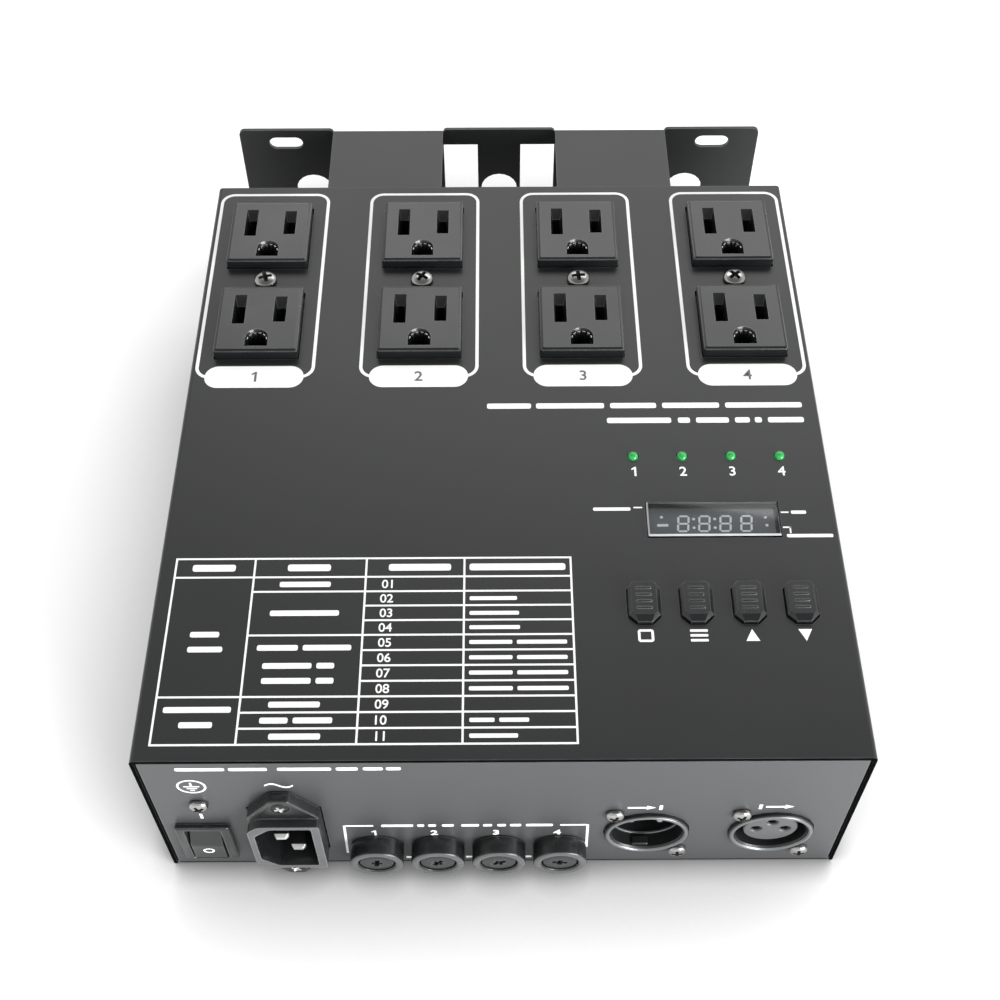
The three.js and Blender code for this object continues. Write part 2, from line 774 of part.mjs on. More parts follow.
function buttonCap() {
  const flangeTop = -coverSheet - seatGap;
  const flangeUnder = flangeTop - capFlangeHeight;
  const cap = bevelled(octagon(capWidth, capLength, capCorner), flangeTop - capBevel, capRise, capBevel);
  const flange = octagon(capWidth + 2 * capFlange, capLength + 2 * capFlange, capCorner);
  const base = prism(flange, 'XY', flangeUnder, flangeTop);
  return join(cap, base, rod(stemRadius, -stemEndDrop, flangeUnder + capFlangeHeight / 2));
}

['mode_button', 'menu_button', 'up_button', 'down_button'].forEach((name, i) =>
  add(topPanel, name, buttonCap(), darkPlastic, controlPlaces[i], buttonRow));

// Control board with the four switches soldered on it
function controlBoard() {
  const top = -boardTopDrop;
  const board = block(around(controlCentre, boardWidth), [boardFront, boardRear], [top - boardSheet, top]);
  const switchFaces = [top - boardSheet / 2, top + switchHeight];
  const switches = controlPlaces.map((x) =>
    block(around(x, switchSize), around(buttonRow, switchSize), switchFaces));
  const wells = controlPlaces.map((x) =>
    rod(stemRadius + seatGap, top + switchHeight - switchWellDepth, top + switchHeight + overrun)
      .translate(x, buttonRow, 0));
  return cut(join(board, ...switches), ...wells);
}

add(topPanel, 'control_board', controlBoard(), boardGreen);

// Rocker switch: bezel and body, and a paddle tilted to its on position
function rockerHousing() {
  const bezel = block(around(0, bezelWidth), [-bezelRise, -seatGap], around(0, bezelLength));
  const body = block(around(0, rockerBodyWidth), [-seatGap - traySheet / 2, rockerBodyDepth],
    around(0, rockerBodyLength));
  const terminals = [-1, 1].map((side) => block(
    around(0, terminalWidth), [rockerBodyDepth - overrun, rockerBodyDepth + terminalLength],
    around(side * rockerBodyLength / 4, terminalSheet)));
  const opening = block(around(0, paddleWidth + 2 * seatGap),
    [-bezelRise - overrun, rockerBodyDepth - rockerWall], around(0, rockerBodyLength - 2 * seatGap));
  return cut(join(bezel, body, ...terminals), opening);
}

function rockerPaddle() {
  const half = paddleLength / 2;
  const front = paddleRecess - paddlePivotDrop;
  const outline = polygon([
    [front, 0], [front - paddleRise, half], [front + paddleThickness / 2, half],
    [front + paddleThickness, half / 2], [front + paddleThickness, -half / 2],
    [front + paddleThickness / 2, -half], [front - paddleRise, -half],
  ]);
  return prism(outline, 'YZ', -paddleWidth / 2, paddleWidth / 2);
}

add(frontPanel, 'rocker_housing', rockerHousing(), blackPlastic, rockerX, 0, rockerHeight);
const paddle = add(frontPanel, 'rocker_paddle', rockerPaddle(), darkPlastic,
  rockerX, paddlePivotDrop - bezelRise, rockerHeight);
paddle.rotation.x = -THREE.MathUtils.degToRad(paddleTilt);

// Power inlet with its long axis upright and the keyed corners to the left
const pinPlaces = [
  ['inlet_line_pin', pinOffset, pinSpacing / 2],
  ['inlet_neutral_pin', pinOffset, -pinSpacing / 2],
  ['inlet_earth_pin', -pinOffset, 0],
];

function inletHousing() {
  const [w, l] = [shroudWidth / 2, shroudLength / 2];
  const [tip, end] = [inletEarTip / 2, inletFlangeLength / 2];
  const ears = polygon([
    [-w, -l], [-tip, -end], [tip, -end], [w, -l],
    [w, l], [tip, end], [-tip, end], [-w, l],
  ]);
  const pieces = [
    prism(ears, 'XZ', -inletFlangeRise, -seatGap),
    block([-w, w], [-shroudRise, inletBodyDepth], [-l, l]),
  ];
  const [cw, cl] = [cavityWidth / 2, cavityLength / 2];
  const keyed = polygon([
    [-cw, -cl + cavityChamfer], [-cw + cavityChamfer, -cl], [cw, -cl],
    [cw, cl], [-cw + cavityChamfer, cl], [-cw, cl - cavityChamfer],
  ]);
  const cuts = [prism(keyed, 'XZ', -shroudRise - overrun, cavityDepth - shroudRise)];
  for (const [, x, z] of pinPlaces) {
    cuts.push(block(around(x, pinWidth + 2 * seatGap), [0, inletBodyDepth + overrun],
      around(z, pinSheet + 2 * seatGap)));
  }
  for (const side of [-1, 1]) {
    cuts.push(facingRear(rod(panelScrewShankRadius + seatGap, -inletFlangeRise - overrun, overrun))
      .translate(0, 0, side * inletScrewSpacing / 2));
  }
  return cut(join(...pieces), ...cuts);
}

add(frontPanel, 'inlet_housing', inletHousing(), blackPlastic, inletX, 0, inletZ);
for (const [name, x, z] of pinPlaces) {
  const pin = block(around(0, pinWidth), [pinSetback - shroudRise, inletBodyDepth + terminalLength],
    around(0, pinSheet));
  add(frontPanel, name, pin, nickel, inletX + x, 0, inletZ + z);
}
[['inlet_screw_upper', 1], ['inlet_screw_lower', -1]].forEach(([name, side]) =>
  add(frontPanel, name, panelScrew(), nickel,
    inletX, -inletFlangeRise - seatGap, inletZ + side * inletScrewSpacing / 2));
add(frontPanel, 'earth_screw', panelScrew(), nickel, earthX, -seatGap, earthScrewHeight);

// Fuse holders, made around Z with the panel's outer face at zero and the front up
const carrierFace = rimRise - carrierSetback;
const carrierRear = carrierFace - carrierLength;
const fuseFront = carrierRear + carrierSocketDepth - seatGap;
const fuseRear = fuseFront - fuseLength;

function fuseHolder() {
  const nutFront = -traySheet - seatGap;
  const nutRear = nutFront - nutHeight;
  return facingFront(turned([
    [0, -barrelLength], [barrelRadius, -barrelLength], [barrelRadius, nutRear], [nutRadius, nutRear],
    [nutRadius, nutFront], [barrelRadius, nutFront], [barrelRadius, seatGap], [rimRadius, seatGap],
    [rimRadius, rimRise - rimChamfer], [rimRadius - rimChamfer, rimRise],
    [carrierRadius + seatGap, rimRise], [carrierRadius + seatGap, carrierRear - seatGap],
    [fuseRadius + seatGap, carrierRear - seatGap], [fuseRadius + seatGap, fuseRear - seatGap],
    [0, fuseRear - seatGap],
  ], fuseSides));
}

function fuseCap() {
  const body = turned([
    [0, carrierRear + carrierSocketDepth], [fuseRadius + seatGap, carrierRear + carrierSocketDepth],
    [fuseRadius + seatGap, carrierRear], [carrierRadius, carrierRear],
    [carrierRadius, carrierFace], [0, carrierFace],
  ], fuseSides);
  const depth = [carrierFace - carrierSlotDepth, carrierFace + overrun];
  return facingFront(cut(
    body,
    block(around(0, carrierSlotWidth), around(0, carrierSlotLength), depth),
    block(around(0, carrierSlotLength), around(0, carrierSlotWidth), depth),
  ));
}

function fuse() {
  const [rearBand, frontBand] = [fuseRear + fuseFerruleLength, fuseFront - fuseFerruleLength];
  return facingFront(turned([
    [0, fuseRear], [fuseRadius, fuseRear], [fuseRadius, rearBand], [fuseGlassRadius, rearBand],
    [fuseGlassRadius, frontBand], [fuseRadius, frontBand], [fuseRadius, fuseFront], [0, fuseFront],
  ], smallSides));
}

fusePlaces.forEach((x, i) => {
  add(frontPanel, `fuse_holder_${i + 1}`, fuseHolder(), darkPlastic, x, 0, fuseHeight);
  add(frontPanel, `fuse_cap_${i + 1}`, fuseCap(), darkPlastic, x, 0, fuseHeight);
  add(frontPanel, `fuse_${i + 1}`, fuse(), glassTube, x, 0, fuseHeight);
});

// Signal connectors, made around Z with the panel's outer face at zero and the front up
const insertRear = -signalBodyDepth;
const insertFace = insertRear + insertThickness;
const insertRadius = boreRadius - seatGap;

function signalShell(withKey) {
  const flangeFront = -traySheet - seatGap;
  const barrel = turned([
    [boreRadius, insertRear], [ringRadius, insertRear], [ringRadius, ringRise],
    [boreRadius, ringRise], [boreRadius, insertRear],
  ], roundSides);
  const flange = prism(rectangle(signalFlangeWidth, signalFlangeLength), 'XY',
    flangeFront - signalFlangeSheet, flangeFront);
  const hollow = rod(boreRadius, insertRear - overrun, ringRise + overrun, roundSides);
  const pieces = [cut(flange, hollow), barrel];
  if (withKey) {
    const keyRoot = boreRadius + (ringRadius - boreRadius) / 2;
    pieces.push(block(around(0, keyWidth), [-keyRoot, keyHeight - boreRadius],
      [ringRise - keyLength - overrun, ringRise - overrun]));
  }
  const holes = signalScrewPlaces().map(([x, z]) =>
    rod(panelScrewShankRadius + seatGap, flangeFront - signalFlangeSheet - overrun, 0).translate(x, z, 0));
  return facingFront(cut(join(...pieces), ...holes));
}

const contactPlaces = [[-contactCircle, 0], [contactCircle, 0], [0, contactCircle]];

function pinInsert() {
  const disc = rod(insertRadius, insertRear, insertFace, roundSides);
  const pins = contactPlaces.map(([x, z]) =>
    rod(contactPinRadius, insertRear + insertThickness / 2, insertFace + contactPinLength, screwSides)
      .translate(x, z, 0));
  return facingFront(join(disc, ...pins));
}

function socketInsert() {
  const face = ringRise - plugInsertSetback;
  const body = turned([
    [0, insertRear], [insertRadius, insertRear], [insertRadius, insertFace],
    [plugInsertRadius, insertFace], [plugInsertRadius, face], [0, face],
  ], roundSides);
  const holes = contactPlaces.map(([x, z]) =>
    rod(contactHoleRadius, face - contactHoleDepth, face + overrun, screwSides).translate(x, z, 0));
  return facingFront(cut(body, ...holes));
}

add(frontPanel, 'signal_in_shell', signalShell(true), greyPlastic, signalPlaces.in, 0, signalHeight);
add(frontPanel, 'signal_in_insert', pinInsert(), blackPlastic, signalPlaces.in, 0, signalHeight);
add(frontPanel, 'signal_out_shell', signalShell(false), greyPlastic, signalPlaces.out, 0, signalHeight);
add(frontPanel, 'signal_out_insert', socketInsert(), greyPlastic, signalPlaces.out, 0, signalHeight);
for (const [side, x] of Object.entries(signalPlaces)) {
  signalScrewPlaces().forEach(([dx, dz], i) => {
    const name = `signal_${side}_screw_${['upper', 'lower'][i]}`;
    add(frontPanel, name, panelScrew(), nickel, x + dx, -seatGap, signalHeight + dz);
  });
}

// Screws through the bracket's two flanges into the rear panel
[['left', -1], ['right', 1]].forEach(([name, side]) => {
  const screw = facingRear(panScrew(bracketScrewHeadRadius, bracketScrewHeadHeight,
    bracketScrewShankRadius, bracketScrewLength));
  const y = halfDepth + bracketSheet + 2 * seatGap;
  add(pack, `bracket_screw_${name}`, screw, nickel, side * bracketScrewX, y, bracketScrewZ);
});

// Power board on its standoffs, with the triacs, capacitors and terminal blocks soldered on
const sinkRow = powerBoardCentre + powerBoardLength * heatSinkRowShare;
const sinkFace = sinkRow - heatSinkBase / 2;
const powerRowCentre = powerBoardWidth * powerRowCentreShare;
const powerPlaces = rowPlaces(channelCount, powerBoardWidth * powerPitchShare, powerRowCentre);

function powerBoard() {
  const standing = (width, length, height, x, y, lift = 0) => block(
    around(x, width), around(y, length),
    [powerBoardTop - boardSheet / 2 + lift, powerBoardTop + height]);
  const pieces = [block(
    around(0, powerBoardWidth), around(powerBoardCentre, powerBoardLength),
    [powerBoardUnder, powerBoardTop])];
  const triacRow = sinkFace - seatGap - triacSheet / 2;
  for (const x of powerPlaces) {
    pieces.push(standing(triacWidth, triacSheet, triacHeight, x, triacRow, boardSheet / 2 + triacLead));
    pieces.push(standing(triacWidth / 2, triacSheet / 4, triacLead + overrun, x, triacRow));
    pieces.push(standing(capacitorWidth, capacitorLength, capacitorHeight, x,
      powerBoardCentre + powerBoardLength * capacitorRowShare));
    pieces.push(standing(capacitorWidth, terminalBlockLength, terminalBlockHeight, x,
      powerBoardCentre + powerBoardLength * terminalBlockRowShare));
  }
  return join(...pieces);
}

function heatSink() {
  const span = around(powerRowCentre, powerBoardWidth * heatSinkLengthShare);
  const floor = partSeat;
  const base = block(span, [sinkFace, sinkFace + heatSinkBase], [floor, floor + heatSinkHeight]);
  const fins = rowPlaces(finCount, finPitch, floor + heatSinkHeight / 2).map((z) =>
    block(span, [sinkFace + heatSinkBase / 2, sinkFace + 2 * heatSinkBase], around(z, finSheet)));
  return join(base, ...fins);
}

function filterChoke() {
  const ring = new THREE.TorusGeometry(chokeRadius, chokeWireRadius, chokeSides, fuseSides);
  return join(ring.translate(0, 0, chokeWireRadius));
}

function transformer() {
  const core = block(around(0, transformerWidth), around(0, transformerStack), [0, transformerHeight]);
  const coil = block(around(0, transformerWidth - 2 * coilMargin), around(0, transformerLength),
    [coilMargin, transformerHeight - coilMargin]);
  return join(core, coil);
}

add(pack, 'power_board', powerBoard(), boardGreen);
add(pack, 'heat_sink', heatSink(), extrusion);
powerPlaces.forEach((x, i) => add(pack, `filter_choke_${i + 1}`, filterChoke(), windings,
  x, powerBoardCentre + powerBoardLength * chokeRowShare, partSeat));
add(pack, 'transformer', transformer(), lamination,
  powerBoardWidth * transformerCentreXShare,
  powerBoardCentre + powerBoardLength * transformerCentreYShare, partSeat);

export default pack;
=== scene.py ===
import math

import bmesh
import bpy
from mathutils import Matrix, Vector


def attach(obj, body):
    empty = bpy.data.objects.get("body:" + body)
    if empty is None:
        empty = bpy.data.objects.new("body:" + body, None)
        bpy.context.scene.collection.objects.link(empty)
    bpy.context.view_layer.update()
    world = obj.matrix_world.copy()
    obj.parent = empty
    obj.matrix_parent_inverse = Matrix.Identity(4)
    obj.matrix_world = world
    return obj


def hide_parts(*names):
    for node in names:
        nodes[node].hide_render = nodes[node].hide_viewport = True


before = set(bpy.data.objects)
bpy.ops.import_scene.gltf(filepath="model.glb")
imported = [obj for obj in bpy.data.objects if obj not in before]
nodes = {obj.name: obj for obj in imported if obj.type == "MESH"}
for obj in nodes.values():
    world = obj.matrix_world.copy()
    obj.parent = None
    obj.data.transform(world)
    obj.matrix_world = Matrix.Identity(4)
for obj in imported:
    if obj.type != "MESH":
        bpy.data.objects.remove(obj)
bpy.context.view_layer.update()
scene = bpy.context.scene

# Sizes in millimetres; X to the right, Y away from the front panel, Z up
MM = 0.001
CASE_HEIGHT = 66
CASE_SIDE = 95
FRONT_FACE = -106.5
REAR_FACE = 108.3
# Middles of the outlets, controls and fittings; on the front panel each is an X and a height
CHANNEL_XS = (-75.183, -25.061, 25.061, 75.183)
OUTLET_ROW = 62.6
OUTLET_PITCH = 38.9
CONTROL_XS = (38.389, 52.658, 66.928, 81.197)
LED_ROW = -9.5
DISPLAY_X = 59.793
DISPLAY_ROW = -32.2
BUTTON_ROW = -60.0
EARTH_SCREW = (-81.13, 41)
ROCKER = (-82.403, 18.3)
PADDLE_TILT = math.radians(12)
INLET = (-58.9, 25.1)
INLET_SCREW_REACH = 20
FUSE_XS = (-35.492, -18.392, -1.292, 15.808)
FUSE_Z = 12.2
SIGNAL_IN = (39.653, 21.6)
SIGNAL_OUT = (74.1, 21.6)
SIGNAL_SCREW = (9.5, 11.8)
# Fittings stand off the sheet by SEAT. The display module lies below it, and ink reaches a little in
SEAT = 0.3
DISPLAY_DROP = 3.3
INK_RISE = 0.05
INK_DEPTH = 0.03
SEGMENT_RISE = 0.03
# Edges sharper than these, in degrees, are shaded as edges or rounded
SHARP_DEGREES = 32
ROUNDED_DEGREES = 35
IN_PLACE = Matrix.Identity(4)


# Colours are written as sRGB and turned to linear light
def linear(code):
    shares = [int(code[i:i + 2], 16) / 255 for i in (1, 3, 5)]
    return [s / 12.92 if s <= 0.04045 else ((s + 0.055) / 1.055) ** 2.4 for s in shares] + [1.0]


WHITE = linear("#ffffff")


def add_node(tree, kind, values=None, links=None, **settings):
    """Adds one node with its settings, its socket values and what is plugged into it."""
    new = tree.nodes.new("ShaderNode" + kind)
    for name, value in settings.items():
        setattr(new, name, value)
    for socket, value in (values or {}).items():
        new.inputs[socket].default_value = value
    for socket, source in (links or {}).items():
        tree.links.new(source, new.inputs[socket])
    return new


def combined(tree, operation, first, second):
    """The result of this operation on two plugs."""
    return add_node(tree, "Math", links={0: first, 1: second}, operation=operation).outputs[0]


def per_mm(size):
    """Pattern scale whose features are this many millimetres across."""
    return 1 / (size * MM)


def rubbed_edges(tree, place, reach_mm, share):
    """How much of the finish is rubbed away or lit as a painted highlight: patchy, and only within
    reach of an edge.
    """
    shape = add_node(tree, "NewGeometry")
    softened_shape = add_node(tree, "Bevel", {"Radius": reach_mm * MM}, samples=4)
    flatness = add_node(tree, "VectorMath", operation="DOT_PRODUCT",
                        links={0: softened_shape.outputs[0], 1: shape.outputs["Normal"]})
    edge = add_node(tree, "MapRange", {"From Min": 0.99, "From Max": 0.8, "To Max": share},
                    {"Value": flatness.outputs["Value"]})
    patches = add_node(tree, "TexNoise", {"Scale": per_mm(6), "Detail": 3.0}, {"Vector": place})
    patchy = add_node(tree, "MapRange", {"From Min": 0.3, "From Max": 0.6, "To Min": 0.3},
                      {"Value": patches.outputs[0]})
    return combined(tree, "MULTIPLY", edge.outputs[0], patchy.outputs[0])


def surfaced(name, base, values, grain_mm, grain_height_mm, cloud_mm, cloud_tint, roughness,
             edge_wear_and_highlight=None, wear_and_highlight_mm=0.5, wear_and_highlight_share=0.5, painted_shadow_tone=None, shadow_foot_mm=0.0):
    """A finish with a fine grain, a broad unevenness in tone, and a sheen that varies with it.

    A paler tone near its edges is partly wear and partly a painted highlight. A dark, dull tone is a
    painted shadow, on faces that look to the front or, where a height is given, up to that height
    from its foot.
    """
    material = bpy.data.materials.new(name)
    material.use_nodes = True
    tree = material.node_tree
    tree.nodes.clear()
    place = add_node(tree, "TexCoord").outputs["Object"]
    cloud = add_node(tree, "TexNoise", {"Scale": per_mm(cloud_mm), "Detail": 3.0}, {"Vector": place})
    grain = add_node(tree, "TexNoise", {"Scale": per_mm(grain_mm), "Detail": 2.0}, {"Vector": place})
    colour = add_node(tree, "Mix", {6: linear(base), 7: linear(cloud_tint)},
                      {0: cloud.outputs[0]}, data_type="RGBA").outputs[2]
    # Paler edges: partly wear, partly a painted highlight on folds, rims and bevels
    if edge_wear_and_highlight:
        colour = add_node(tree, "Mix", {7: linear(edge_wear_and_highlight)}, {
            0: rubbed_edges(tree, place, wear_and_highlight_mm, wear_and_highlight_share), 6: colour}, data_type="RGBA").outputs[2]
    # Painted shadow: black, dull and metallic on faces that look to the front, or up to a height at
    # the foot
    if painted_shadow_tone:
        facing = add_node(tree, "NewGeometry").outputs["True Normal"]
        where = add_node(tree, "SeparateXYZ", links={0: place if shadow_foot_mm else facing})
        painted_shadow = add_node(tree, "Math", {1: shadow_foot_mm * MM if shadow_foot_mm else -0.8},
                        {0: where.outputs["Z" if shadow_foot_mm else "Y"]}, operation="LESS_THAN").outputs[0]
        colour = add_node(tree, "Mix", {7: linear(painted_shadow_tone)}, {0: painted_shadow, 6: colour},
                          data_type="RGBA").outputs[2]
    sheen = add_node(tree, "MapRange", {"To Min": roughness[0], "To Max": roughness[1]},
                     {"Value": cloud.outputs[0]})
    bump = add_node(tree, "Bump", {"Distance": grain_height_mm * MM, "Strength": 1.0},
                    {"Height": grain.outputs[0]})
    shader = add_node(tree, "BsdfPrincipled", values, {
        "Base Color": colour, "Roughness": sheen.outputs[0], "Normal": bump.outputs[0]})
    if painted_shadow_tone:
        dull = combined(tree, "MAXIMUM", sheen.outputs[0], painted_shadow)
        tree.links.new(dull, shader.inputs["Roughness"])
        tree.links.new(painted_shadow, shader.inputs["Metallic"])
    add_node(tree, "OutputMaterial", links={"Surface": shader.outputs[0]})
    return material


# Powder-coated steel, sprayed and baked: satin, with a soft orange peel about 0.7 mm across, pale
# along its folds, partly wear and partly a painted highlight. Faces of a sheet that look to the front
# are black, a painted shadow of the gaps there.
cover_paint = surfaced(
    "powder_coat_cover", "#161718", {"IOR": 1.5}, 0.7, 0.012, 60, "#1f2021", (0.34, 0.44),
    edge_wear_and_highlight="#6a6b6c", wear_and_highlight_mm=0.6, painted_shadow_tone="#050505")
# The tray has the same coat, painted lighter than the cover's as painted light for its brightly lit
# front, and black along its foot as a painted contact shadow
lit_tray_paint = surfaced(
    "powder_coat_tray_painted_light", "#393a3c", {"IOR": 1.5}, 0.7, 0.012, 60, "#424445", (0.34, 0.44),
    edge_wear_and_highlight="#77797a", wear_and_highlight_mm=0.6, painted_shadow_tone="#050505", shadow_foot_mm=1.8)
bracket_paint = surfaced(
    "powder_coat_bracket", "#191a1b", {"IOR": 1.5}, 0.7, 0.012, 50, "#222323", (0.32, 0.42),
    edge_wear_and_highlight="#6a6b6c", wear_and_highlight_mm=0.6)
# Thermoset outlet, pressed in a polished mould: near black with a wide soft sheen
outlet_black = surfaced(
    "moulded_outlet", "#101112", {"IOR": 1.55}, 0.5, 0.004, 20, "#17181a", (0.22, 0.34),
    edge_wear_and_highlight="#8c8e90", wear_and_highlight_mm=0.45, wear_and_highlight_share=0.6)
# Glass-filled nylon of switch, inlet and fuse holders: black, slightly cloudy
nylon_black = surfaced(
    "moulded_nylon", "#161718", {"IOR": 1.55}, 0.4, 0.005, 12, "#202122", (0.2, 0.34),
    edge_wear_and_highlight="#8e9092", wear_and_highlight_mm=0.6, wear_and_highlight_share=0.55)
# The same nylon, painted paler on rims as a painted highlight
nylon_rim_highlight = surfaced(
    "moulded_nylon_rim_painted_highlight", "#434546", {"IOR": 1.55}, 0.4, 0.005, 5, "#56585a", (0.2, 0.32),
    edge_wear_and_highlight="#c0c2c4", wear_and_highlight_mm=0.5, wear_and_highlight_share=0.6)
# ABS key caps from a sparked mould: near black, with a fine soft grain
cap_black = surfaced(
    "moulded_abs_caps", "#121314", {"IOR": 1.54}, 0.35, 0.006, 8, "#1a1b1c", (0.22, 0.34),
    edge_wear_and_highlight="#8c8e90", wear_and_highlight_mm=0.4, wear_and_highlight_share=0.5)
# Zinc die casting under a grey lacquer, for the signal rings: a satin metal sheen
ring_grey = surfaced(
    "die_cast_ring", "#6c6e70", {"IOR": 1.5, "Metallic": 0.6}, 0.4, 0.006, 15, "#7a7c7e",
    (0.24, 0.38), edge_wear_and_highlight="#a8aaac", wear_and_highlight_mm=0.4)
# Moulded nylon inserts, fine-grained and matt where they carry the contacts
insert_grey = surfaced(
    "moulded_grey_insert", "#4c4d4f", {"IOR": 1.52}, 0.4, 0.005, 10, "#57585a", (0.35, 0.5))
insert_black = surfaced(
    "moulded_black_insert", "#131415", {"IOR": 1.52}, 0.4, 0.005, 10, "#1b1c1d", (0.3, 0.45))
# Nickel plating over turned or stamped metal: bright, with a faint handling haze
nickel = surfaced(
    "nickel_plate", "#b4b3b0", {"Metallic": 1.0}, 0.5, 0.003, 4, "#8f8f8e", (0.14, 0.3))
# Nickel, bright where plugs and drivers rub it, and a painted highlight on the blade tips and the
# inlet screws' crosses
rubbed_and_highlit_nickel = surfaced(
    "rubbed_nickel_painted_highlight", "#e4e4e2", {"Metallic": 0.7}, 0.4, 0.004, 2, "#cfcfcd", (0.25, 0.4))
# A driver's recess, painted dark and dull as the shade inside it
painted_recess_shade = surfaced(
    "painted_recess_shade", "#161616", {"Metallic": 0.3}, 0.3, 0.01, 2, "#262626", (0.5, 0.7))
# Tin plating of the inlet's blades, darkened as painted shade for the inlet's hollow: grey, with a
# blurred gleam
shaded_tin = surfaced(
    "tin_plate_painted_shade", "#6f6e6c", {"Metallic": 1.0}, 0.5, 0.004, 3, "#565655", (0.3, 0.5))
# Zinc plate passivated black, for the inlet's screws: dark, with a low metal sheen
black_zinc = surfaced(
    "black_zinc_plate", "#2b2b2d", {"Metallic": 0.85}, 0.4, 0.003, 4, "#3a3a3d", (0.2, 0.34))
# Stamped brass of the switch's terminals: warm and slightly tarnished
brass = surfaced(
    "brass_contact", "#b08a4a", {"Metallic": 1.0}, 0.4, 0.003, 3, "#9a7638", (0.25, 0.4))
# Screen-printed ink: a flat, slightly chalky film
white_ink = surfaced(
    "screen_ink_white", "#f4f4f2", {"IOR": 1.45}, 0.3, 0.004, 15, "#eaeae8", (0.5, 0.65))
dark_ink = surfaced(
    "screen_ink_dark", "#5c5d5e", {"IOR": 1.45}, 0.3, 0.004, 15, "#666768", (0.5, 0.65))
# Display module: grey potting resin, with the unlit segments showing paler and given a faint painted
# glow
module_grey = surfaced(
    "potted_display_face", "#6b6e70", {"IOR": 1.5}, 0.4, 0.004, 8, "#75787a", (0.35, 0.5))
pale_segment_glow = surfaced(
    "unlit_segment_painted_glow", "#e6eaec", {"IOR": 1.5, "Emission Color": linear("#d8e0e4"),
    "Emission Strength": 0.22}, 0.3, 0.003, 5, "#f2f5f6", (0.3, 0.4))
# Solder-masked board: green gloss over a faint weave of glass cloth 0.6 mm apart
board_green = surfaced(
    "solder_mask_board", "#1f4a2c", {"IOR": 1.5}, 0.6, 0.01, 10, "#2a5c38", (0.3, 0.45))
# Extruded aluminium, left as drawn: pale, clouded in tone
sink_aluminium = surfaced(
    "extruded_aluminium", "#b4b6b8", {"Metallic": 1.0}, 0.5, 0.006, 20, "#a2a4a6", (0.3, 0.45))
# Enamelled copper windings about 1 mm thick: a ribbed, warm gloss
choke_copper = surfaced(
    "enamelled_copper_wire", "#9c5326", {"Metallic": 0.8}, 1.0, 0.15, 8, "#b4673a", (0.2, 0.35))
# Stacked steel laminations dipped in varnish: dark, with a dull metal sheen
core_steel = surfaced(
    "varnished_laminations", "#3c3d40", {"Metallic": 0.5}, 0.5, 0.02, 15, "#4a4b4f", (0.4, 0.55))
# Green tinted epoxy lens, glossy as cast, with a faint green glow inside and paler green flecks that
# are painted glints
led_green = surfaced(
    "cast_green_epoxy", "#07792a", {"IOR": 1.54, "Transmission Weight": 0.3,
    "Emission Color": linear("#1fbf52"), "Emission Strength": 0.06}, 0.5, 0.03, 0.6, "#4fd877",
    (0.05, 0.1))
# Clear cast acrylic, polished, and its bevel at the left and front, made rough and pale as a painted
# highlight
acrylic_clear = surfaced(
    "clear_acrylic", "#f4f6f7", {"IOR": 1.49, "Transmission Weight": 1.0}, 3.0, 0.001, 30,
    "#eef1f2", (0.02, 0.04))
acrylic_edge_highlight = surfaced(
    "acrylic_edge_painted_highlight", "#c6cacd", {"IOR": 1.49, "Transmission Weight": 0.4}, 0.3, 0.02, 6,
    "#d8dcde", (0.45, 0.6))
# Drawn glass tube of a fuse: clear, with a sharp highlight along it
tube_glass = surfaced(
    "soda_glass_tube", "#f2f5f5", {"IOR": 1.52, "Transmission Weight": 1.0}, 3.0, 0.001, 30,
    "#ecf0f0", (0.01, 0.03))


# Outlines in millimetres, drawn anticlockwise
def rounded_box(width, length, radius, x=0.0, y=0.0, steps=4):
    points = []
    for quarter, (side_x, side_y) in enumerate(((1, 1), (-1, 1), (-1, -1), (1, -1))):
        cx = x + side_x * (width / 2 - radius)
        cy = y + side_y * (length / 2 - radius)
        for step in range(steps + 1):
            angle = math.pi / 2 * (quarter + step / steps)
            points.append((cx + radius * math.cos(angle), cy + radius * math.sin(angle)))
    return points


def circle(radius, x=0.0, y=0.0, sides=48):
    angles = [2 * math.pi * i / sides for i in range(sides)]
    return [(x + radius * math.cos(a), y + radius * math.sin(a)) for a in angles]


def octagon(width, length, chamfer, y=0.0):
    w, h, c = width / 2, length / 2, chamfer
    corners = [(w, -h + c), (w, h - c), (w - c, h), (-w + c, h),
               (-w, h - c), (-w, -h + c), (-w + c, -h), (w - c, -h)]
    return [(px, py + y) for px, py in corners]


def arch(radius, flat, y, steps=12):
    """Half a circle on a box, whose foot lies this far under the circle's middle."""
    angles = [math.pi * i / steps for i in range(steps + 1)]
    round_part = [(radius * math.cos(a), y + radius * math.sin(a)) for a in angles]
    return round_part + [(-radius, y - flat), (radius, y - flat)]


def cross(reach, half_width):
    """Outline of a plus sign."""
    r, w = reach, half_width
    return [(r, -w), (r, w), (w, w), (w, r), (-w, r), (-w, w),
            (-r, w), (-r, -w), (-w, -w), (-w, -r), (w, -r), (w, -w)]


def softened(corners, reach, steps=4):
    """Outline whose every corner is a curve that starts this far before it."""
    points = []
    for i, corner in enumerate(corners):
        before, after = corners[i - 1], corners[(i + 1) % len(corners)]
        entry, leave = (
            [c + (o - c) * reach / math.dist(corner, other) for c, o in zip(corner, other)]
            for other in (before, after))
        for step in range(steps + 1):
            t = step / steps
            points.append(tuple((1 - t) ** 2 * a + 2 * t * (1 - t) * c + t ** 2 * b
                                for a, c, b in zip(entry, corner, leave)))
    return points


def keyed_outline(width, length, chamfer, corner_reach, x=0.0):
    """Box with two chamfers on its left, the keyed shape of a power inlet."""
    w, h, c = width / 2, length / 2, chamfer
    return softened([(x + w, -h), (x + w, h), (x - w + c, h), (x - w, h - c), (x - w, -h + c),
                     (x - w + c, -h)], corner_reach)


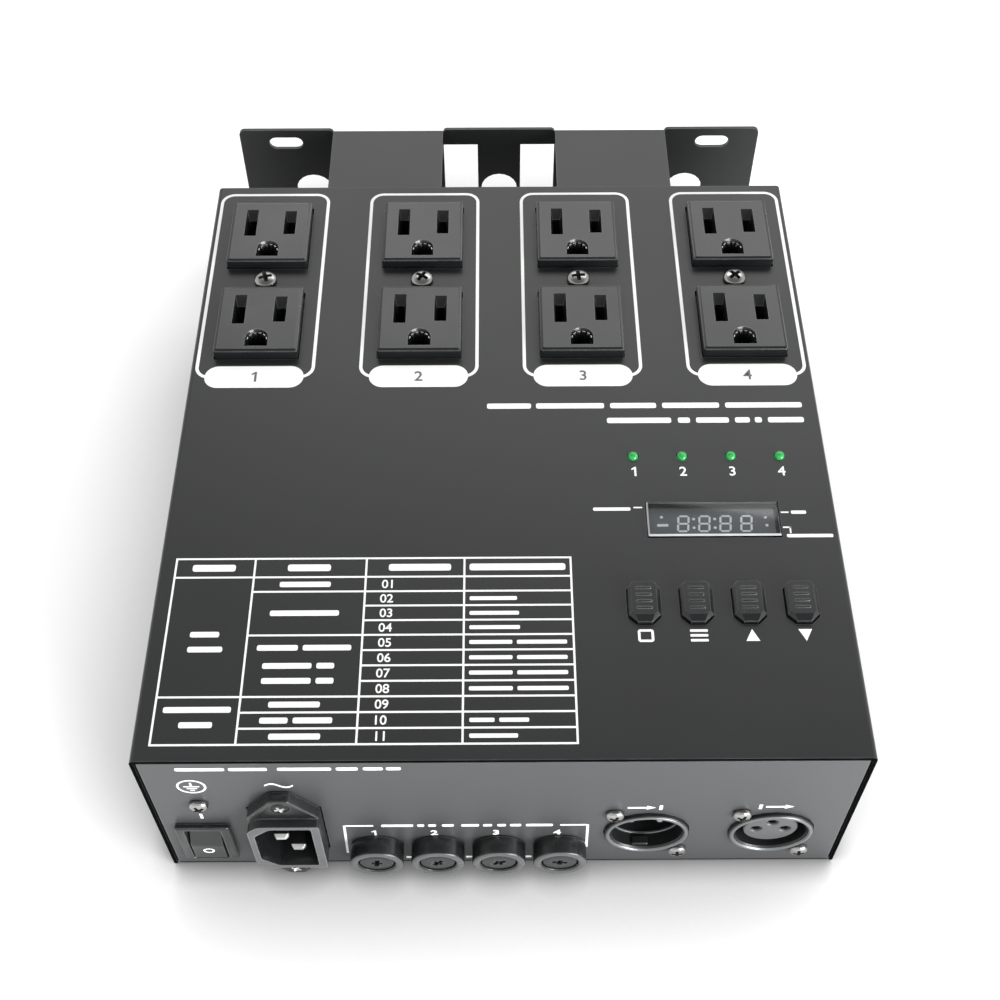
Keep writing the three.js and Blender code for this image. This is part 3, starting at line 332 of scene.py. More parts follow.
# Solids in millimetres
def loft(levels, close_ends=True):
    """A closed skin through outlines with equally many points, from the lowest level up.

    It ends in two flat faces, or where close_ends is off its last outline joins its first as a ring.
    """
    solid = bmesh.new()
    rings = [[solid.verts.new((px, py, z)) for px, py in outline] for outline, z in levels]
    count = len(rings[0])
    for low, high in zip(rings, rings[1:]):
        for i in range(count):
            solid.faces.new((low[i - 1], low[i], high[i], high[i - 1]))
    first, last = rings[0], rings[-1]
    if close_ends:
        solid.faces.new(list(reversed(first)))
        solid.faces.new(last)
    else:
        for i in range(count):
            solid.faces.new((last[i - 1], last[i], first[i], first[i - 1]))
    return solid


def turned(profile, sides=48, close_ends=True):
    """A solid of revolution from its radius at each level."""
    return loft([(circle(radius, sides=sides), z) for radius, z in profile], close_ends)


def holes(profile, places, sides):
    """Cutters for the same turned hole at several places."""
    cutters = []
    for x, y in places:
        hole = turned(profile, sides)
        hole.transform(Matrix.Translation((x, y, 0)))
        cutters.append(hole)
    return cutters


def block(x_range, y_range, z_range):
    (x0, x1), (y0, y1), (z0, z1) = x_range, y_range, z_range
    corners = [(x1, y0), (x1, y1), (x0, y1), (x0, y0)]
    return loft([(corners, z0), (corners, z1)])


def front_finished(solid, level):
    """Gives every face that lies wholly above this level the second finish."""
    for face in solid.faces:
        if all(vert.co.z >= level for vert in face.verts):
            face.material_index = 1
    return solid


def joined(*parts):
    """Puts several solids into one; each part is a solid, or (solid, finish number, placing)."""
    whole = bmesh.new()
    for part in parts:
        solid, finish, placing = part if isinstance(part, tuple) else (part, None, IN_PLACE)
        solid.transform(placing)
        for face in solid.faces:
            if finish is not None:
                face.material_index = finish
        part_mesh = bpy.data.meshes.new("part")
        solid.to_mesh(part_mesh)
        solid.free()
        whole.from_mesh(part_mesh)
        bpy.data.meshes.remove(part_mesh)
    return whole


def settled(piece, sharp_degrees=SHARP_DEGREES):
    """Applies the piece's modifiers and shades it smooth between its sharp edges."""
    depsgraph = bpy.context.evaluated_depsgraph_get()
    mesh = bpy.data.meshes.new_from_object(piece.evaluated_get(depsgraph))
    piece.modifiers.clear()
    old = piece.data
    piece.data = mesh
    bpy.data.meshes.remove(old)
    mesh.name = piece.name
    mesh.shade_smooth()
    mesh.set_sharp_from_angle(angle=math.radians(sharp_degrees))


def object_from(name, solid, placing, finishes):
    """A bmesh in millimetres becomes an object in the frame, in metres."""
    bmesh.ops.recalc_face_normals(solid, faces=solid.faces)
    mesh = bpy.data.meshes.new(name)
    solid.to_mesh(mesh)
    solid.free()
    mesh.transform(placing @ Matrix.Scale(MM, 4))
    for finish in finishes:
        mesh.materials.append(finish)
    piece = bpy.data.objects.new(name, mesh)
    scene.collection.objects.link(piece)
    return piece


def made(name, solid, placing, finishes, body="casing", stands_for=(), cutters=(),
         cut_finish=0, rounding=0.0, rounding_steps=2, sharp_degrees=SHARP_DEGREES):
    """Makes one piece: placed, cut, its edges rounded, and riding on its body."""
    piece = object_from(name, solid, placing, finishes)
    for cutter in cutters:
        for face in cutter.faces:
            face.material_index = cut_finish
    tools = [object_from(f"{name}_cutter_{i}", cutter, placing, finishes)
             for i, cutter in enumerate(cutters)]
    for tool in tools:
        cut = piece.modifiers.new("cut", "BOOLEAN")
        cut.operation = "DIFFERENCE"
        cut.solver = "EXACT"
        cut.use_self = True
        cut.object = tool
    if tools:
        settled(piece)
        for tool in tools:
            bpy.data.objects.remove(tool)
    if rounding:
        edge = piece.modifiers.new("rounded edges", "BEVEL")
        edge.width = rounding * MM
        edge.segments = rounding_steps
        edge.limit_method = "ANGLE"
        edge.angle_limit = math.radians(ROUNDED_DEGREES)
    settled(piece, sharp_degrees)
    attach(piece, body)
    if stands_for:
        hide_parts(*stands_for)


def shift(x, y, z):
    return Matrix.Translation(Vector((x, y, z)) * MM)


def on_top(x, y):
    """Placing of a piece on the top: its Z is up and its level zero is the cover's face."""
    return shift(x, y, CASE_HEIGHT)


def on_front(x, z, turn=0.0):
    """Placing of a piece on the front panel: its Z is outward and its Y is up."""
    return (shift(x, FRONT_FACE, z) @ Matrix.Rotation(math.pi / 2, 4, "X")
            @ Matrix.Rotation(turn, 4, "Z"))


def on_side(side, y, z):
    """Placing of a piece on the cover's side: its Z is outward."""
    return shift(side * CASE_SIDE, y, z) @ Matrix.Rotation(side * math.pi / 2, 4, "Y")


def on_rear(x, z):
    """Placing of a piece on the bracket's flanges: its Z is backward."""
    return shift(x, REAR_FACE, z) @ Matrix.Rotation(-math.pi / 2, 4, "X")


def lifted(placing, rise):
    return placing @ Matrix.Translation((0, 0, rise * MM))


# CAD nodes that stay, with their finishes
FINISHES = {
    "top_cover": cover_paint, "chassis_tray": lit_tray_paint, "hanging_bracket": bracket_paint,
    "display_module": module_grey, "power_board": board_green, "control_board": board_green,
    "heat_sink": sink_aluminium, "filter_choke_1": choke_copper, "filter_choke_2": choke_copper,
    "filter_choke_3": choke_copper, "filter_choke_4": choke_copper, "transformer": core_steel}
for name, finish in FINISHES.items():
    mesh = nodes[name].data
    mesh.materials.clear()
    mesh.materials.append(finish)


# Screws
def pan_head(radius, rise, shank_radius, length, dome_steps=7):
    """Pan head and shank, with the head seated at level zero."""
    profile = [(shank_radius * 0.6, -length), (shank_radius, -length + shank_radius * 0.5),
               (shank_radius, 0), (radius * 0.97, 0), (radius, rise * 0.12), (radius, rise * 0.3)]
    for step in range(1, dome_steps + 1):
        angle = math.pi / 2 * step / dome_steps
        profile.append((radius * (0.03 + 0.97 * math.cos(angle)),
                        rise * (0.3 + 0.7 * math.sin(angle))))
    return turned(profile, 40)


def cross_recess(reach, top, depth):
    """Cutter for a driver's cross, narrower towards its foot."""
    return loft([(cross(reach * 0.32, reach * 0.12), top - depth), (cross(reach, reach * 0.27), top),
                 (cross(reach * 1.1, reach * 0.3), top + 0.3)])


def screw(name, placing, sizes, turn):
    radius, rise = sizes[:2]
    made(name + "_detail", pan_head(*sizes), placing @ Matrix.Rotation(turn, 4, "Z"),
         [nickel, painted_recess_shade], stands_for=[name], cut_finish=1,
         cutters=[cross_recess(radius * 0.68, rise, rise * 0.9)])


def countersunk_head(length, rise=0.0):
    """Countersunk screw whose face lies at level zero, or stands proud of it as a shallow lens."""
    angles = (0.35, 0.7, 1.05, 1.35, 1.54) if rise else ()
    lens = [(2.6 * math.cos(angle), rise * math.sin(angle)) for angle in angles]
    shank = [(0.8, -length), (1.4, 0.6 - length), (1.4, -1.25)]
    return turned(shank + [(2.55, -0.15), (2.6, 0)] + lens, 40)


# Each screw's head radius and rise, shank radius and length
RECEPTACLE_SCREW = (3.6, 1.9, 1.6, 11)
PANEL_SCREW = (2.6, 1.8, 1.45, 9)
BRACKET_SCREW = (4, 2.8, 2, 10)
# Turns of the drivers' crosses, each screw as it was left
for number, (x, turn) in enumerate(zip(CHANNEL_XS, (0.3, 1.0, 0.1, 0.7)), 1):
    screw(f"receptacle_screw_{number}", lifted(on_top(x, OUTLET_ROW), SEAT), RECEPTACLE_SCREW, turn)
FLANGE_RISE = 3.4
for place, sign, turn in (("upper", 1, 0.4), ("lower", -1, 1.1)):
    placing = lifted(on_front(INLET[0], INLET[1] + sign * INLET_SCREW_REACH, turn), FLANGE_RISE)
    made(f"inlet_screw_{place}_detail", countersunk_head(12, 0.5), placing,
         [black_zinc, rubbed_and_highlit_nickel], stands_for=[f"inlet_screw_{place}"],
         cut_finish=1, cutters=[cross_recess(1.55, 0.5, 1.3)])
screw("earth_screw", lifted(on_front(*EARTH_SCREW), SEAT), PANEL_SCREW, 0.5)
for side, (x, z) in (("in", SIGNAL_IN), ("out", SIGNAL_OUT)):
    for place, sign in (("upper", 1), ("lower", -1)):
        placing = on_front(x - sign * SIGNAL_SCREW[0], z + sign * SIGNAL_SCREW[1])
        screw(f"signal_{side}_screw_{place}", lifted(placing, SEAT), PANEL_SCREW, 0.6 + 0.5 * sign)
for side, sign in (("left", -1), ("right", 1)):
    screw(f"bracket_screw_{side}", on_rear(sign * 40.4, 40.4), BRACKET_SCREW, 0.2)

# Countersunk screws that hold the cover's sides to the tray
COVER_SCREW_YS = (-85.2, 0, 85.2)
COVER_SCREW_Z = 6
for name, side in (("left", -1), ("right", 1)):
    for number, y in enumerate(COVER_SCREW_YS, 1):
        made(f"cover_screw_{name}_{number}", countersunk_head(7), on_side(side, y, COVER_SCREW_Z),
             [nickel, painted_recess_shade], cut_finish=1,
             cutters=[cross_recess(1.5, 0, 1.1)])


# Duplex outlets
def outlet_face(y):
    """Face of one outlet, with a narrow sloping rim round its flat."""
    side = rounded_box(25.8, 27.6, 0.7, 0, y)
    return loft([
        (side, -2.2), (side, 3.05), (rounded_box(25.5, 27.3, 0.6, 0, y), 3.25),
        (rounded_box(24.0, 25.8, 0.4, 0, y), 3.42), (rounded_box(23.8, 25.6, 0.35, 0, y), 3.5)])


def blade_slot(x, y, length):
    """Slot with a sloping mouth, longest at the end away from the earth hole."""
    well = rounded_box(2.5, length - 1.6, 0.15, x, y - 0.6)
    mouth = rounded_box(3.9, length + 2.7, 0.2, x, y + 0.4)
    return loft([(well, -10.5), (well, 1.4), (mouth, 3.51), (mouth, 4.5)])


def earth_hole(y):
    well, mouth = arch(2.55, 2.4, y), arch(3.55, 3.5, y + 0.35)
    return loft([(well, -10.5), (well, 1.2), (mouth, 3.51), (mouth, 4.5)])


def earth_fingers(y, count=6):
    """Sprung strips around the round side of the earth hole, flared at the mouth."""
    fingers = []
    for i in range(count):
        placing = Matrix.Translation((0, y, 0)) @ Matrix.Rotation(math.pi * (i + 0.5) / count, 4, "Z")
        strip = loft([(rounded_box(0.25, 0.8, 0.1, 2.4), -6), (rounded_box(0.25, 0.8, 0.1, 2.4), 1.2),
                      (rounded_box(0.25, 1.0, 0.1, 3.05), 2.7)])
        fingers.append((strip, 0, placing))
    return fingers


def blade_contacts(x, y):
    """Two sprung plates that grip a plug's blade."""
    plates = [(x + side - 0.15, x + side + 0.15) for side in (-1, 1)]
    return [(block(plate, (y - 3.4, y + 1.6), (-9, -3.5)), 0, IN_PLACE) for plate in plates]


BLADE_X = 6.35
OUTLET_BODY = rounded_box(28, 68.5, 1.2)
for number, x in enumerate(CHANNEL_XS, 1):
    parts = [loft([(OUTLET_BODY, -23.3), (OUTLET_BODY, -SEAT - 1)])]
    cutters = [turned([(1.9, -12.4), (1.9, 0)], 24)]
    contacts = []
    for y in (-OUTLET_PITCH / 2, OUTLET_PITCH / 2):
        blade_y, earth_y = y + 3.4, y - 8.5
        parts.append(outlet_face(y))
        cutters += [blade_slot(-BLADE_X, blade_y, 9.6), blade_slot(BLADE_X, blade_y, 8.2),
                    earth_hole(earth_y)]
        contacts += earth_fingers(earth_y)
        contacts += blade_contacts(-BLADE_X, blade_y) + blade_contacts(BLADE_X, blade_y)
    made(f"duplex_outlet_{number}", joined(*parts), on_top(x, OUTLET_ROW), [outlet_black],
         stands_for=[f"receptacle_{number}"], cutters=cutters)
    made(f"outlet_contacts_{number}", joined(*contacts), on_top(x, OUTLET_ROW), [nickel],
         rounding=0.05, rounding_steps=1)

# Channel lamps: a flanged barrel with a domed end
DOME_STEPS = 8
for number, x in enumerate(CONTROL_XS, 1):
    profile = [(1.9, -10), (1.9, -1.3), (1.5, -1.3), (1.5, 0.0)]
    for step in range(1, DOME_STEPS + 1):
        angle = math.pi / 2 * step / DOME_STEPS
        profile.append((0.02 + 1.48 * math.cos(angle), 1.3 * math.sin(angle)))
    made(f"lamp_lens_{number}", turned(profile, 40), on_top(x, LED_ROW), [led_green],
         stands_for=[f"channel_led_{number}"])

# Display window: polished, with a flange under the cover, and a bevel at left and front that is rough
# and pale, a painted highlight
window_flange = rounded_box(41, 15.4, 0.3)
window_side = rounded_box(37.4, 11.8, 0.3)
window = loft([(window_flange, -2.3), (window_flange, -1.3), (window_side, -1.3), (window_side, 0.35),
               (rounded_box(36.5, 10.9, 0.2), 0.8)])
for face in window.faces:
    middle = face.calc_center_median()
    on_bevel = 0.4 < middle.z < 0.75
    if on_bevel and (middle.x < -18 or middle.y < -5):
        face.material_index = 1
made("display_lens", window, on_top(DISPLAY_X, DISPLAY_ROW), [acrylic_clear, acrylic_edge_highlight],
     stands_for=["display_window"])


# Push buttons: octagonal caps with a wide bevel at the front and a ladder of low ridges
def button_cap():
    side, rim = octagon(8.6, 13.1, 2.4), octagon(10.4, 14.9, 2.4)
    cap = loft([(side, -2), (side, 0.95), (octagon(8.4, 12.9, 2.35), 1.1),
                (octagon(7.2, 10.6, 0.9, 0.75), 1.72), (octagon(6.9, 10.3, 0.8, 0.75), 1.8)])
    flange = loft([(rim, -2.3), (rim, -1.3)])
    stem = turned([(1.6, -8), (1.6, -1.6)], 24)
    ridges = [loft([(rounded_box(4.4, 0.95, 0.45, 0, y), 1.7),
                    (rounded_box(4.1, 0.65, 0.3, 0, y), 1.89),
                    (rounded_box(3.8, 0.3, 0.14, 0, y), 1.93)]) for y in (-2.4, -0.3, 1.8, 3.9)]
    return joined(cap, flange, stem, *ridges)


# Their facets are shallow, so they are shaded sharp from 10 degrees on
for name, x in zip(("mode", "menu", "up", "down"), CONTROL_XS):
    made(f"{name}_cap", button_cap(), on_top(x, BUTTON_ROW), [cap_black], body=f"{name}_key",
         stands_for=[f"{name}_button"], sharp_degrees=10)

# Rocker switch: a frame round its well, two terminals behind, and a paddle
bezel, rocker_body = rounded_box(15, 21, 0.9), rounded_box(12.8, 18.8, 0.6)
rocker_parts = [loft([(bezel, SEAT), (bezel, 1.6), (rounded_box(14.6, 20.6, 0.8), 1.9),
                      (rounded_box(14.2, 20.2, 0.7), 2.0)]),
                loft([(rocker_body, -15), (rocker_body, 0.5)])]
well, well_mouth = rounded_box(9.6, 18.2, 0.4), rounded_box(10.2, 18.8, 0.6)
rocker_well = loft([(well, -13.6), (well, 1.5), (well_mouth, 2.1), (well_mouth, 3)])
made("rocker_frame", joined(*rocker_parts), on_front(*ROCKER), [nylon_black],
     stands_for=["rocker_housing"], cutters=[rocker_well])
terminals = [block((-2.4, 2.4), (z - 0.4, z + 0.4), (-23, -14.9)) for z in (-4.7, 4.7)]
made("rocker_tabs", joined(*terminals), on_front(*ROCKER), [brass], rounding=0.1)


def paddle_side(half=8.2, crest=1.9, hollow=0.12, steps=8):
    """The paddle seen from its end: two slightly hollow faces that meet in a crest at the middle."""
    slope = math.tan(PADDLE_TILT)
    front = []
    for i in range(-steps, steps + 1):
        share = abs(i) / steps
        sag = hollow * 4 * share * (1 - share)
        front.append((-crest + half * slope * share + sag, half * i / steps))
    outline = front + [(1.5, half), (3.5, half / 2), (3.5, -half / 2), (1.5, -half)]
    return outline[::-1]


# Turns a profile of depth and height, drawn flat, so that it runs across the switch
ACROSS = Matrix(((0, 0, 1, 0), (1, 0, 0, 0), (0, 1, 0, 0), (0, 0, 0, 1)))
paddle_placing = (shift(ROCKER[0], FRONT_FACE - 0.5, ROCKER[1])
                  @ Matrix.Rotation(-PADDLE_TILT, 4, "X"))
paddle = loft([(paddle_side(), -4.5), (paddle_side(), 4.5)])
made("rocker_key", paddle, paddle_placing @ ACROSS, [nylon_black], body="rocker",
     stands_for=["rocker_paddle"], rounding=0.3, rounding_steps=3)


def ring_shape(outer, inner, z0, z1, stretch=1.0, sides=40):
    """Flat ring; stretch widens it along X."""
    wide = [(px * stretch, py) for px, py in circle(outer, sides=sides)]
    thin = [(px * stretch, py) for px, py in circle(inner, sides=sides)]
    return loft([(thin, z0), (wide, z0), (wide, z1), (thin, z1)], close_ends=False)


# The mark lies in the hollow of the paddle's lower face
mark_placing = (paddle_placing @ shift(0, -1.03, -3.6)
                @ Matrix.Rotation(math.pi / 2 + PADDLE_TILT, 4, "X"))
made("rocker_off_mark", ring_shape(1.45, 0.95, -0.3, 0.06, 1.1), mark_placing, [white_ink],
     body="rocker")


# Power inlet
def ears(width, length, tip, tip_reach):
    """Outline of the flange: a box with a tapered ear at each end for its screw."""
    w, h = width / 2, length / 2
    return [(w, -h), (w, h), (tip, tip_reach), (-tip, tip_reach), (-w, h), (-w, -h),
            (-tip, -tip_reach), (tip, -tip_reach)]


shroud = keyed_outline(19.6, 27.1, 3.2, 1.3)
flange = loft([(softened(ears(19.6, 27.1, 2.5, 23.7), 0.8), SEAT),
               (softened(ears(19.4, 27.0, 2.4, 23.5), 0.8), 3.1),
               (softened(ears(19.0, 26.8, 2.2, 23.2), 0.8), FLANGE_RISE)])
SHROUD_RISE = 6
inlet_parts = [flange, front_finished(loft([(shroud, -17), (shroud, SHROUD_RISE)]), SHROUD_RISE)]
cavity = keyed_outline(15.6, 24, 4.4, 0.8, -0.3)
screw_places = [(0, side * INLET_SCREW_REACH) for side in (-1, 1)]
inlet_cutters = [loft([(cavity, -10), (cavity, 7)]),
                 *holes([(1.75, -2), (1.75, 2.0), (2.65, 3.3), (2.65, 4.5)], screw_places, 24)]
made("inlet_shell", joined(*inlet_parts), on_front(*INLET), [nylon_black, nylon_rim_highlight],
     stands_for=["inlet_housing"], cutters=inlet_cutters, rounding=0.3,
     rounding_steps=3)
blade = rounded_box(4, 2, 0.3)
for name, x, z in (("line", 2, 7), ("neutral", 2, -7), ("earth", -2, 0)):
    shank = loft([(blade, -25), (blade, 2.2)])
    tip = loft([(blade, 2.2), (rounded_box(3.2, 1.5, 0.3), 2.9), (rounded_box(2.7, 1.2, 0.3), 3.2)])
    made(f"inlet_{name}_blade", joined((shank, 0, IN_PLACE), (tip, 1, IN_PLACE)),
         on_front(INLET[0] + x, INLET[1] + z), [shaded_tin, rubbed_and_highlit_nickel],
         stands_for=[f"inlet_{name}_pin"])

# Fuse holders, caps and fuses: profiles of radius and level, from the back to the face
HOLDER = [(5.9, -25), (5.9, -4.5), (8, -4.5), (8, -1.5), (5.9, -1.5), (5.9, 0.3), (7.4, 0.3),
          (7.5, 0.4), (7.5, 5.05), (7.35, 5.4), (7.05, 5.62), (6.65, 5.7), (5.85, 5.7),
          (5.45, 5.52), (5.15, 5.2), (5.15, -2.5), (2.9, -2.5), (2.9, -19)]
CAP = [(2.9, -2.2), (4.85, -2.2), (4.85, 4.65), (4.7, 5.0), (4.35, 5.18), (3.2, 5.22), (0.1, 5.24)]
RIM_LEVEL = 5.35
FERRULE = [(2.2, -18.9), (2.6, -18.6), (2.6, -13.4), (2.45, -13.4)]
OUTER_FERRULE = [(2.45, -4.4), (2.6, -4.4), (2.6, 0.8), (2.2, 1.1)]
TUBE = [(2.4, -13.6), (2.4, -4.2)]


def cap_slot(width, length):
    """Cutter for one bar of the driver's cross in a fuse cap."""
    mouth = rounded_box(width + 0.4, length + 0.4, 0.1)
    return loft([(rounded_box(width, length, 0.1), 3.6), (mouth, 5.3), (mouth, 6)])


# Turns of the caps, each as it was left
for number, (x, turn) in enumerate(zip(FUSE_XS, (1.45, 0.95, 0.55, -0.15)), 1):
    made(f"fuse_barrel_{number}", front_finished(turned(HOLDER, 64), RIM_LEVEL), on_front(x, FUSE_Z),
         [nylon_black, nylon_rim_highlight], stands_for=[f"fuse_holder_{number}"])
    made(f"fuse_cap_face_{number}", turned(CAP, 64), on_front(x, FUSE_Z, turn), [nylon_black],
         body=f"cap_body_{number}", stands_for=[f"fuse_cap_{number}"],
         cutters=[cap_slot(4.0, 1.1), cap_slot(1.1, 2.8)])
    fuse_parts = joined((turned(FERRULE, 32), 0, IN_PLACE), (turned(OUTER_FERRULE, 32), 0, IN_PLACE),
                        (turned(TUBE, 32), 1, IN_PLACE))
    made(f"glass_fuse_{number}", fuse_parts, on_front(x, FUSE_Z), [nickel, tube_glass],
         body=f"fuse_body_{number}", stands_for=[f"fuse_{number}"])

# Signal connectors: each a plate behind the panel, a ring, a black gasket round it that also stands
# as a painted shadow in the gap, and a sleeve in it
RING = [(10.25, -3), (11.4, -3), (11.4, 1.1), (11.3, 1.25), (11.1, 1.35), (10.65, 1.35), (10.45, 1.2),
        (10.25, 0.95)]
GASKET_AND_SHADOW = [(11.4, -3), (11.7, -3), (11.7, 0.85), (11.55, 1.05), (11.4, 1.05)]
SLEEVE = [(9.75, -21), (11.4, -21), (11.4, -3.2), (10.2, -3.2), (10.2, 0.75), (10.05, 0.85),
          (9.75, 0.4)]
THROAT_LIP = [(9.3, -3.9), (9.75, -3.9), (9.75, -3.4), (9.5, -3.35), (9.3, -3.5)]
SHELL_PLATE = rounded_box(25, 30, 1.5)
PIN = [(1.2, -19), (1.2, -3.6), (1.0, -3.0), (0.5, -2.65), (0.05, -2.6)]
CONTACTS = ((-4, 0), (4, 0), (0, 4))
for side, (x, z) in (("in", SIGNAL_IN), ("out", SIGNAL_OUT)):
    screw_places = [(-sign * SIGNAL_SCREW[0], sign * SIGNAL_SCREW[1]) for sign in (-1, 1)]
    made(f"signal_{side}_plate", loft([(SHELL_PLATE, -3.5), (SHELL_PLATE, -1.5)]), on_front(x, z),
         [ring_grey], cutters=[
             turned([(11.5, -5), (11.5, 0)], 64), *holes([(1.75, -4), (1.75, 0)], screw_places, 24)])
    made(f"signal_{side}_ring", turned(RING, 80, close_ends=False), on_front(x, z), [ring_grey],
         stands_for=[f"signal_{side}_shell"])
    for name, profile in (("gasket_shadow", GASKET_AND_SHADOW), ("sleeve", SLEEVE)):
        made(f"signal_{side}_{name}", turned(profile, 80, close_ends=False), on_front(x, z),
             [insert_black])
made("signal_in_lip", turned(THROAT_LIP, 80, close_ends=False), on_front(*SIGNAL_IN), [ring_grey])
key_foot = rounded_box(4.6, 1.5, 0.3, -1.2, -9.4)
key = loft([(key_foot, -2.2), (key_foot, -0.2), (rounded_box(4.2, 1.2, 0.3, -1.2, -9.5), 0.1)])
made("signal_in_key", key, on_front(*SIGNAL_IN), [insert_black])
pins = [(turned(PIN, 24), 1, Matrix.Translation((px, py, 0))) for px, py in CONTACTS]
disc = turned([(9.45, -21), (9.45, -17.3), (9.2, -17)], 64)
made("signal_in_pins", joined(disc, *pins), on_front(*SIGNAL_IN), [insert_black, nickel],
     stands_for=["signal_in_insert"])
socket_body = turned([
    (9.45, -21), (9.45, -17), (7.5, -17), (7.5, -0.75), (7.25, -0.5), (6.9, -0.45)], 64)
socket_holes = holes([(1.6, -12.4), (1.6, -0.75), (1.85, -0.44), (1.85, 0.5)], CONTACTS, 32)
made("signal_out_sockets", socket_body, on_front(*SIGNAL_OUT), [insert_grey],
     stands_for=["signal_out_insert"], cutters=socket_holes)
SOCKET_TUBE = [(1.2, -12), (1.5, -12), (1.5, -1.0), (1.2, -1.0)]
sleeves = [(turned(SOCKET_TUBE, 32, close_ends=False), 0, Matrix.Translation((px, py, 0)))
           for px, py in CONTACTS]
made("signal_out_contacts", joined(*sleeves), on_front(*SIGNAL_OUT), [nickel])


# Printed marks, each a thin film of ink that lies on its panel
WHOLE_TOP, WHOLE_FRONT = on_top(0, 0), on_front(0, 0)


def film(outline, rise=INK_RISE):
    return loft([(outline, -INK_DEPTH), (outline, rise)])


def bars(y, height, *spans):
    """A row of bars with rounded ends, each from one X to another."""
    return [film(rounded_box(x1 - x0, height, height * 0.3, (x0 + x1) / 2, y, 3)) for x0, x1 in spans]


def line(x0, y0, x1, y1, width, rise=INK_RISE):
    dx, dy = x1 - x0, y1 - y0
    length = math.hypot(dx, dy)
    nx, ny = -dy / length * width / 2, dx / length * width / 2
    return film([(x0 - nx, y0 - ny), (x1 - nx, y1 - ny),
                 (x1 + nx, y1 + ny), (x0 + nx, y0 + ny)], rise)


# Outline of a 1 with its flag, in shares of its height
FLAGGED_ONE = ((0.03, 0.0), (0.21, 0.0), (0.21, 1.0), (0.07, 1.0), (-0.2, 0.82), (-0.2, 0.66),
               (0.03, 0.78))


def numeral(text, height, x, y, placing, finish, name, rise=INK_RISE, weight=0.012):
    """A plain number as a film of ink, centred on x and y; weight swells its strokes."""
    if text == "1":
        outline = [(x + px * height, y + (py - 0.5) * height) for px, py in FLAGGED_ONE]
        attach(object_from(name, film(outline, rise), placing, [finish]), "casing")
        return
    curve = bpy.data.curves.new(name, "FONT")
    curve.body = text
    curve.size = 1
    curve.offset = weight
    curve.align_x = "CENTER"
    curve.extrude = 0.5  # one deep in all, until it is scaled
    writer = bpy.data.objects.new(name + "_writer", curve)
    scene.collection.objects.link(writer)
    depsgraph = bpy.context.evaluated_depsgraph_get()
    depsgraph.update()
    mesh = bpy.data.meshes.new_from_object(writer.evaluated_get(depsgraph))
    bpy.data.objects.remove(writer)
    xs = [v.co.x for v in mesh.vertices]
    ys = [v.co.y for v in mesh.vertices]
    scale = height / (max(ys) - min(ys))
    centre = ((max(xs) + min(xs)) / 2, (max(ys) + min(ys)) / 2)
    film_height = rise + INK_DEPTH
    mesh.transform(Matrix.Translation((x, y, (rise - INK_DEPTH) / 2))
                   @ Matrix.Diagonal((scale, scale, film_height, 1))
                   @ Matrix.Translation((-centre[0], -centre[1], 0)))
    mesh.transform(placing @ Matrix.Scale(MM, 4))
    mesh.materials.clear()
    mesh.materials.append(finish)
    piece = bpy.data.objects.new(name, mesh)
    scene.collection.objects.link(piece)
    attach(piece, "casing")


def printed(name, films, placing, finish=white_ink):
    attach(object_from(name, joined(*films), placing, [finish]), "casing")


# Frames around the four channels, with a numbered pill at the foot of each
def frame_ring(width, length, radius, y, stroke):
    outer = rounded_box(width + stroke, length + stroke, radius + stroke / 2, 0, y, 8)
    inner = rounded_box(width - stroke, length - stroke, radius - stroke / 2, 0, y, 8)
    return loft([(inner, -INK_DEPTH), (outer, -INK_DEPTH), (outer, INK_RISE), (inner, INK_RISE)],
                close_ends=False)


FRAME_TOP, FRAME_FOOT = 102.9, 21.9
# Ink on ink lies a little higher, so that it shows
PILL_RISE, PILL_NUMBER_RISE = INK_RISE + 0.015, INK_RISE + 0.04
for number, (x, lamp_x) in enumerate(zip(CHANNEL_XS, CONTROL_XS), 1):
    ring = frame_ring(35.57, FRAME_TOP - FRAME_FOOT, 4, (FRAME_TOP + FRAME_FOOT) / 2, 1.0)
    pill = film(rounded_box(30.2, 8.6, 4.25, 0, FRAME_FOOT, 10), PILL_RISE)
    printed(f"channel_frame_{number}", [ring, pill], on_top(x, 0))
    numeral(str(number), 3.9, 0, FRAME_FOOT, on_top(x, 0), dark_ink, f"channel_number_{number}",
            rise=PILL_NUMBER_RISE)
    numeral(str(number), 3.3, lamp_x, -15.0, WHOLE_TOP, white_ink, f"lamp_number_{number}")

# Two rows of plain bars in front of the channels
printed("notice_bars", [
    *bars(9.85, 2.0, (-4.2, 9.0), (10.5, 30.9), (32.7, 46.5), (48.3, 65.4), (67.2, 90.2)),
    *bars(4.1, 2.0, (31.5, 50.6), (52.6, 56.2), (58.0, 67.8), (69.6, 74.0), (75.5, 77.6),
          (79.4, 90.1))], WHOLE_TOP)

# Table of settings: ruled lines, plain numbers and bars. Its first columns join some of its rows.
ROW_LINES = (-44.85, -50.98, -55.71, -60.31, -64.94, -69.54, -74.23, -78.88, -83.53, -88.12,
             -92.69, -97.29, -101.85)
COLUMN_LINES = (-90.14, -68.3, -37.5, -10.4, 19.0)
RULE = 0.55
table_films = []
# The column line from which each row line runs
LINE_STARTS = (0, 0, 1, 2, 2, 1, 2, 2, 2, 0, 1, 1, 0)
for y, column in zip(ROW_LINES, LINE_STARTS):
    table_films.append(
        line(COLUMN_LINES[column] - RULE / 2, y, COLUMN_LINES[-1] + RULE / 2, y, RULE))
# Where ink lines cross, one of them lies a little lower, so that no two faces coincide
CROSSING_RISE = INK_RISE - 0.01
for x in COLUMN_LINES:
    table_films.append(
        line(x, ROW_LINES[-1] - RULE / 2, x, ROW_LINES[0] + RULE / 2, RULE, CROSSING_RISE))
table_films += bars(-47.9, 2.2, (-85.5, -73.6), (-59.2, -47.3), (-31.3, -14.1), (-9.0, 17.5))
